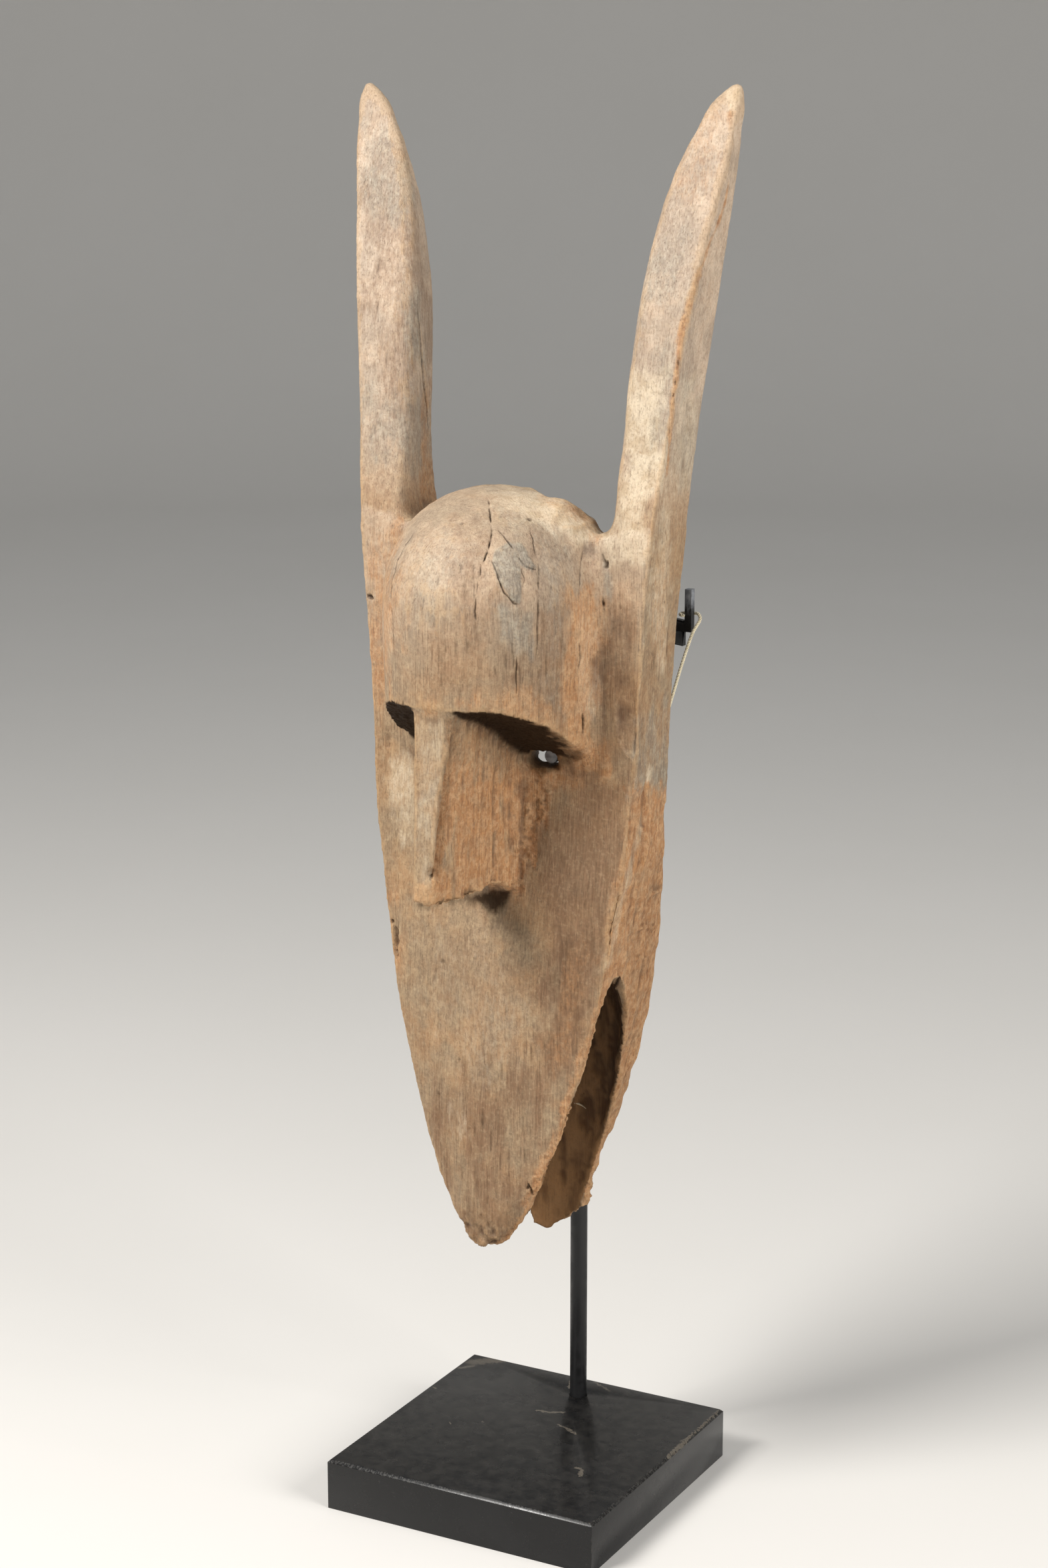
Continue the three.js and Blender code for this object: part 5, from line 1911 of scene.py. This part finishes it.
black_lacquer, tree, shader = new_material("black_lacquer")
place = place_of(tree)
scuff_place = shaken(tree, place, SHAKES_A_METRE, 3.0, SHAKEN_BY)
scuffed = 0.0
for pixels, scuff_reach in SCUFFS.values():
    for start, end in itertools.pairwise(pixels):
        mark = near_line(tree, scuff_place, on_base(*start), on_base(*end), scuff_reach * MM)
        scuffed = calc(tree, "MAXIMUM", scuffed, mark)
scuffed = use(tree, frayed_mask, Mask=scuffed, Grain=0.9, Fray=0.7, Softness=0.2)["Mask"]
# The chamfer is painted grey: partly paint thinned by knocks and partly painted highlight along the edge.
knocks_and_highlight = painted("worn", 1.2, 0.75, 0.15)
clouds = use(tree, stains, Size=30.0, Cover=0.4)

# %% Material of the base
BRUSH_WAVES_A_METRE = 260.0
LACQUER_BUMP = 0.05 * MM

lacquer = layered(tree, colour("0b0b0c"), [
    (0.6, clouds["Cloud"], "141415"),
    (0.5, knocks_and_highlight, "4a4845"),
    (0.35, clouds["Specks"], "3c3b39"),
    (1.0, use(tree, dust, Amount=0.10)["Mask"], "6f6a63"),
    (0.45, scuffed, "7d7467"),
])
roughness = calc(tree, "MULTIPLY_ADD", clouds["Cloud"], 0.12, 0.24)
finish(
    tree,
    shader,
    Base_Color=lacquer,
    Roughness=calc(tree, "MULTIPLY_ADD", knocks_and_highlight, 0.25, roughness),
    Specular_IOR_Level=0.35,
    Coat_Weight=0.15,
    Coat_Roughness=0.12,
    Normal=bump(tree, speckle(tree, place, BRUSH_WAVES_A_METRE, 3.0), LACQUER_BUMP),
)
print(black_lacquer.name, "has", len(tree.nodes), "nodes")

# %% [markdown]
# ### Black paint on steel
#
# The stand's metal is brushed with matt black paint. Where the mask has been lifted on and off, at the
# tips, the paint has gone and the steel shows grey.

# %% Material of the metal
PAINT_GRAINS_A_METRE = 700.0
PAINT_BUMP = 0.08 * MM

black_paint, tree, shader = new_material("black_paint")
bare = painted("bare", 0.7, 0.35, 0.2)
clouds = use(tree, stains, Size=9.0, Cover=0.45)["Cloud"]
paint = layered(tree, colour("131314"), [
    (0.5, clouds, "1e1e1f"),
    (1.0, use(tree, dust, Amount=0.12)["Mask"], "6b665e"),
    (1.0, bare, mix(tree, clouds, "6d7076", "95989c")),
])
finish(
    tree,
    shader,
    Base_Color=paint,
    Metallic=calc(tree, "MULTIPLY", bare, 0.3),
    Roughness=calc(tree, "MULTIPLY_ADD", clouds, 0.15, 0.42),
    Normal=bump(tree, speckle(tree, place_of(tree), PAINT_GRAINS_A_METRE, 4.0), PAINT_BUMP),
)
print(black_paint.name, "has", len(tree.nodes), "nodes")

# %% [markdown]
# ### Cotton string
#
# The plies are already there as shape. The finish adds the fuzz of fine fibres and a little grey where
# fingers tied it.

# %% Material of the tie
HAIRS_A_METRE = 3200.0
STRING_BUMP = 0.12 * MM

cotton_string, tree, shader = new_material("cotton_string")
fuzz = speckle(tree, place_of(tree), HAIRS_A_METRE, 4.0, 0.7)
clouds = use(tree, stains, Size=7.0, Cover=0.4)["Cloud"]
finish(
    tree,
    shader,
    Base_Color=layered(tree, mix(tree, fuzz, "b3a482", "efe6cb"), [(0.35, clouds, "9c9078")]),
    Roughness=0.9,
    Sheen_Weight=0.3,
    Sheen_Roughness=0.5,
    Normal=bump(tree, fuzz, STRING_BUMP),
)
print(cotton_string.name, "has", len(tree.nodes), "nodes")

# %% Where paint has worn off, and the chamfer's grey, partly painted highlight
CHAMFER_WEAR_AND_HIGHLIGHT = 0.42
STRAIGHT = 0.99
PEG_TIPS_BEFORE = -27
HOOK_TIPS_ABOVE = 524


def chamfer_wear_and_highlight(face):
    side_x = abs(face.center.x) > base_high.x - BASE_CHAMFER
    side_y = abs(face.center.y) > base_high.y - BASE_CHAMFER
    slanted = max(abs(part) for part in face.normal) < STRAIGHT
    return CHAMFER_WEAR_AND_HIGHLIGHT if slanted and (side_x or side_y) else 0.0


base_faces = lacquered_base.data.polygons
worn_faces = lacquered_base.data.attributes.new("worn", "FLOAT", "FACE")
worn_faces.data.foreach_set("value", np.array([chamfer_wear_and_highlight(face) for face in base_faces], np.float32))
for piece in (painted_rod, painted_fork, painted_bar):
    at = points_of(piece) / MM
    tips = np.maximum(at[:, 1] < PEG_TIPS_BEFORE, at[:, 2] > HOOK_TIPS_ABOVE)
    store(piece, "bare", (tips * (piece is not painted_rod)).astype(float))
    print(piece.name, "is bare at", int(tips.sum()) * (piece is not painted_rod), "points")

# %% Each piece gets its finish
for piece, material in {
    carved_mask: old_wood,
    lacquered_base: black_lacquer,
    painted_rod: black_paint,
    painted_fork: black_paint,
    painted_bar: black_paint,
    twisted_tie: cotton_string,
}.items():
    piece.data.materials.clear()
    piece.data.materials.append(material)
    print(piece.name, "is finished in", material.name)

# %% [markdown]
# ## The studio
#
# The floor is a wide pale disc whose rim turns up into a wall far away, so that no edge shows behind
# the mask from any side. The light is a large soft lamp from the upper left, as in the photograph, a
# still larger one from the right that keeps the shadows open, and a dim sky.

# %% Floor and wall
FLOOR_SIDES = 96
FLOOR_RADIUS = 4.0
COVE_RADIUS = 1.5
COVE_STEPS = 8
WALL_HEIGHT = 3.0

bpy.ops.mesh.primitive_circle_add(vertices=FLOOR_SIDES, radius=FLOOR_RADIUS, fill_type="NGON")
studio_floor = newest("studio_floor")
reach = FLOOR_RADIUS
level = 0.0
with editing(studio_floor):
    bpy.ops.mesh.select_mode(type="EDGE")
    bpy.ops.mesh.select_all(action="SELECT")
    bpy.ops.mesh.region_to_loop()
    for step in range(1, COVE_STEPS + 2):
        angle = min(step, COVE_STEPS) / COVE_STEPS * math.pi / 2
        next_reach = FLOOR_RADIUS + COVE_RADIUS * math.sin(angle)
        next_level = COVE_RADIUS * (1 - math.cos(angle)) + (WALL_HEIGHT if step > COVE_STEPS else 0)
        bpy.ops.mesh.extrude_edges_move(TRANSFORM_OT_translate={"value": (0, 0, next_level - level)})
        wider = next_reach / reach
        bpy.ops.transform.resize(value=(wider, wider, 1), center_override=(0, 0, 0))
        reach, level = next_reach, next_level
bpy.ops.object.shade_smooth()
studio_floor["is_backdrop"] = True
print("the studio is", round(2 * reach, 1), "m across and", round(level, 1), "m high")

# %% Material of the floor
pale_floor, tree, shader = new_material("pale_floor")
shade = speckle(tree, place_of(tree), 3.0, 4.0)
finish(
    tree,
    shader,
    Base_Color=mix(tree, shade, "dcd9d4", "e0ddd9"),
    Roughness=0.85,
    Specular_IOR_Level=0.2,
)
studio_floor.data.materials.append(pale_floor)

# %% Lamps: azimuth, elevation, distance and size in metres, and power
LAMPS = {
    "key_lamp": (-28, 40, 1.9, 0.7, 48),
    "fill_lamp": (80, 24, 2.2, 1.2, 37),
}
LAMP_TINT = (1.0, 0.98, 0.95)

for name, (azimuth, elevation, distance, size, power) in LAMPS.items():
    lamp = stand_off(bpy.ops.object.light_add, azimuth, elevation, distance, type="AREA")
    lamp.name = name
    lamp.data.size = size
    lamp.data.energy = power
    lamp.data.color = LAMP_TINT
    print(name, "at", [round(part, 2) for part in lamp.location])

# %% Sky
SKY_TINT = (0.9, 0.95, 1.0, 1)
SKY_STRENGTH = 0.34

sky = bpy.data.worlds.new("studio_sky")
sky.use_nodes = True
sky.node_tree.nodes["Background"].inputs["Color"].default_value = SKY_TINT
sky.node_tree.nodes["Background"].inputs["Strength"].default_value = SKY_STRENGTH
bpy.context.scene.world = sky
bpy.context.scene.view_settings.view_transform = "Standard"
print("the sky has strength", SKY_STRENGTH)

# %% [markdown]
# ## Last looks
#
# The finished model has to stay the size of the imported one, so the most that the finish adds to the
# imported box on any side is printed.

# %% Sizes and the end
visual_box = [list(corner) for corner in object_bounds()]
below = [c - v for c, v in zip(cad_box[0], visual_box[0])]
above = [v - c for c, v in zip(cad_box[1], visual_box[1])]
print("the finish adds at most", round(max(*below, *above) / MM, 2), "mm on a side")
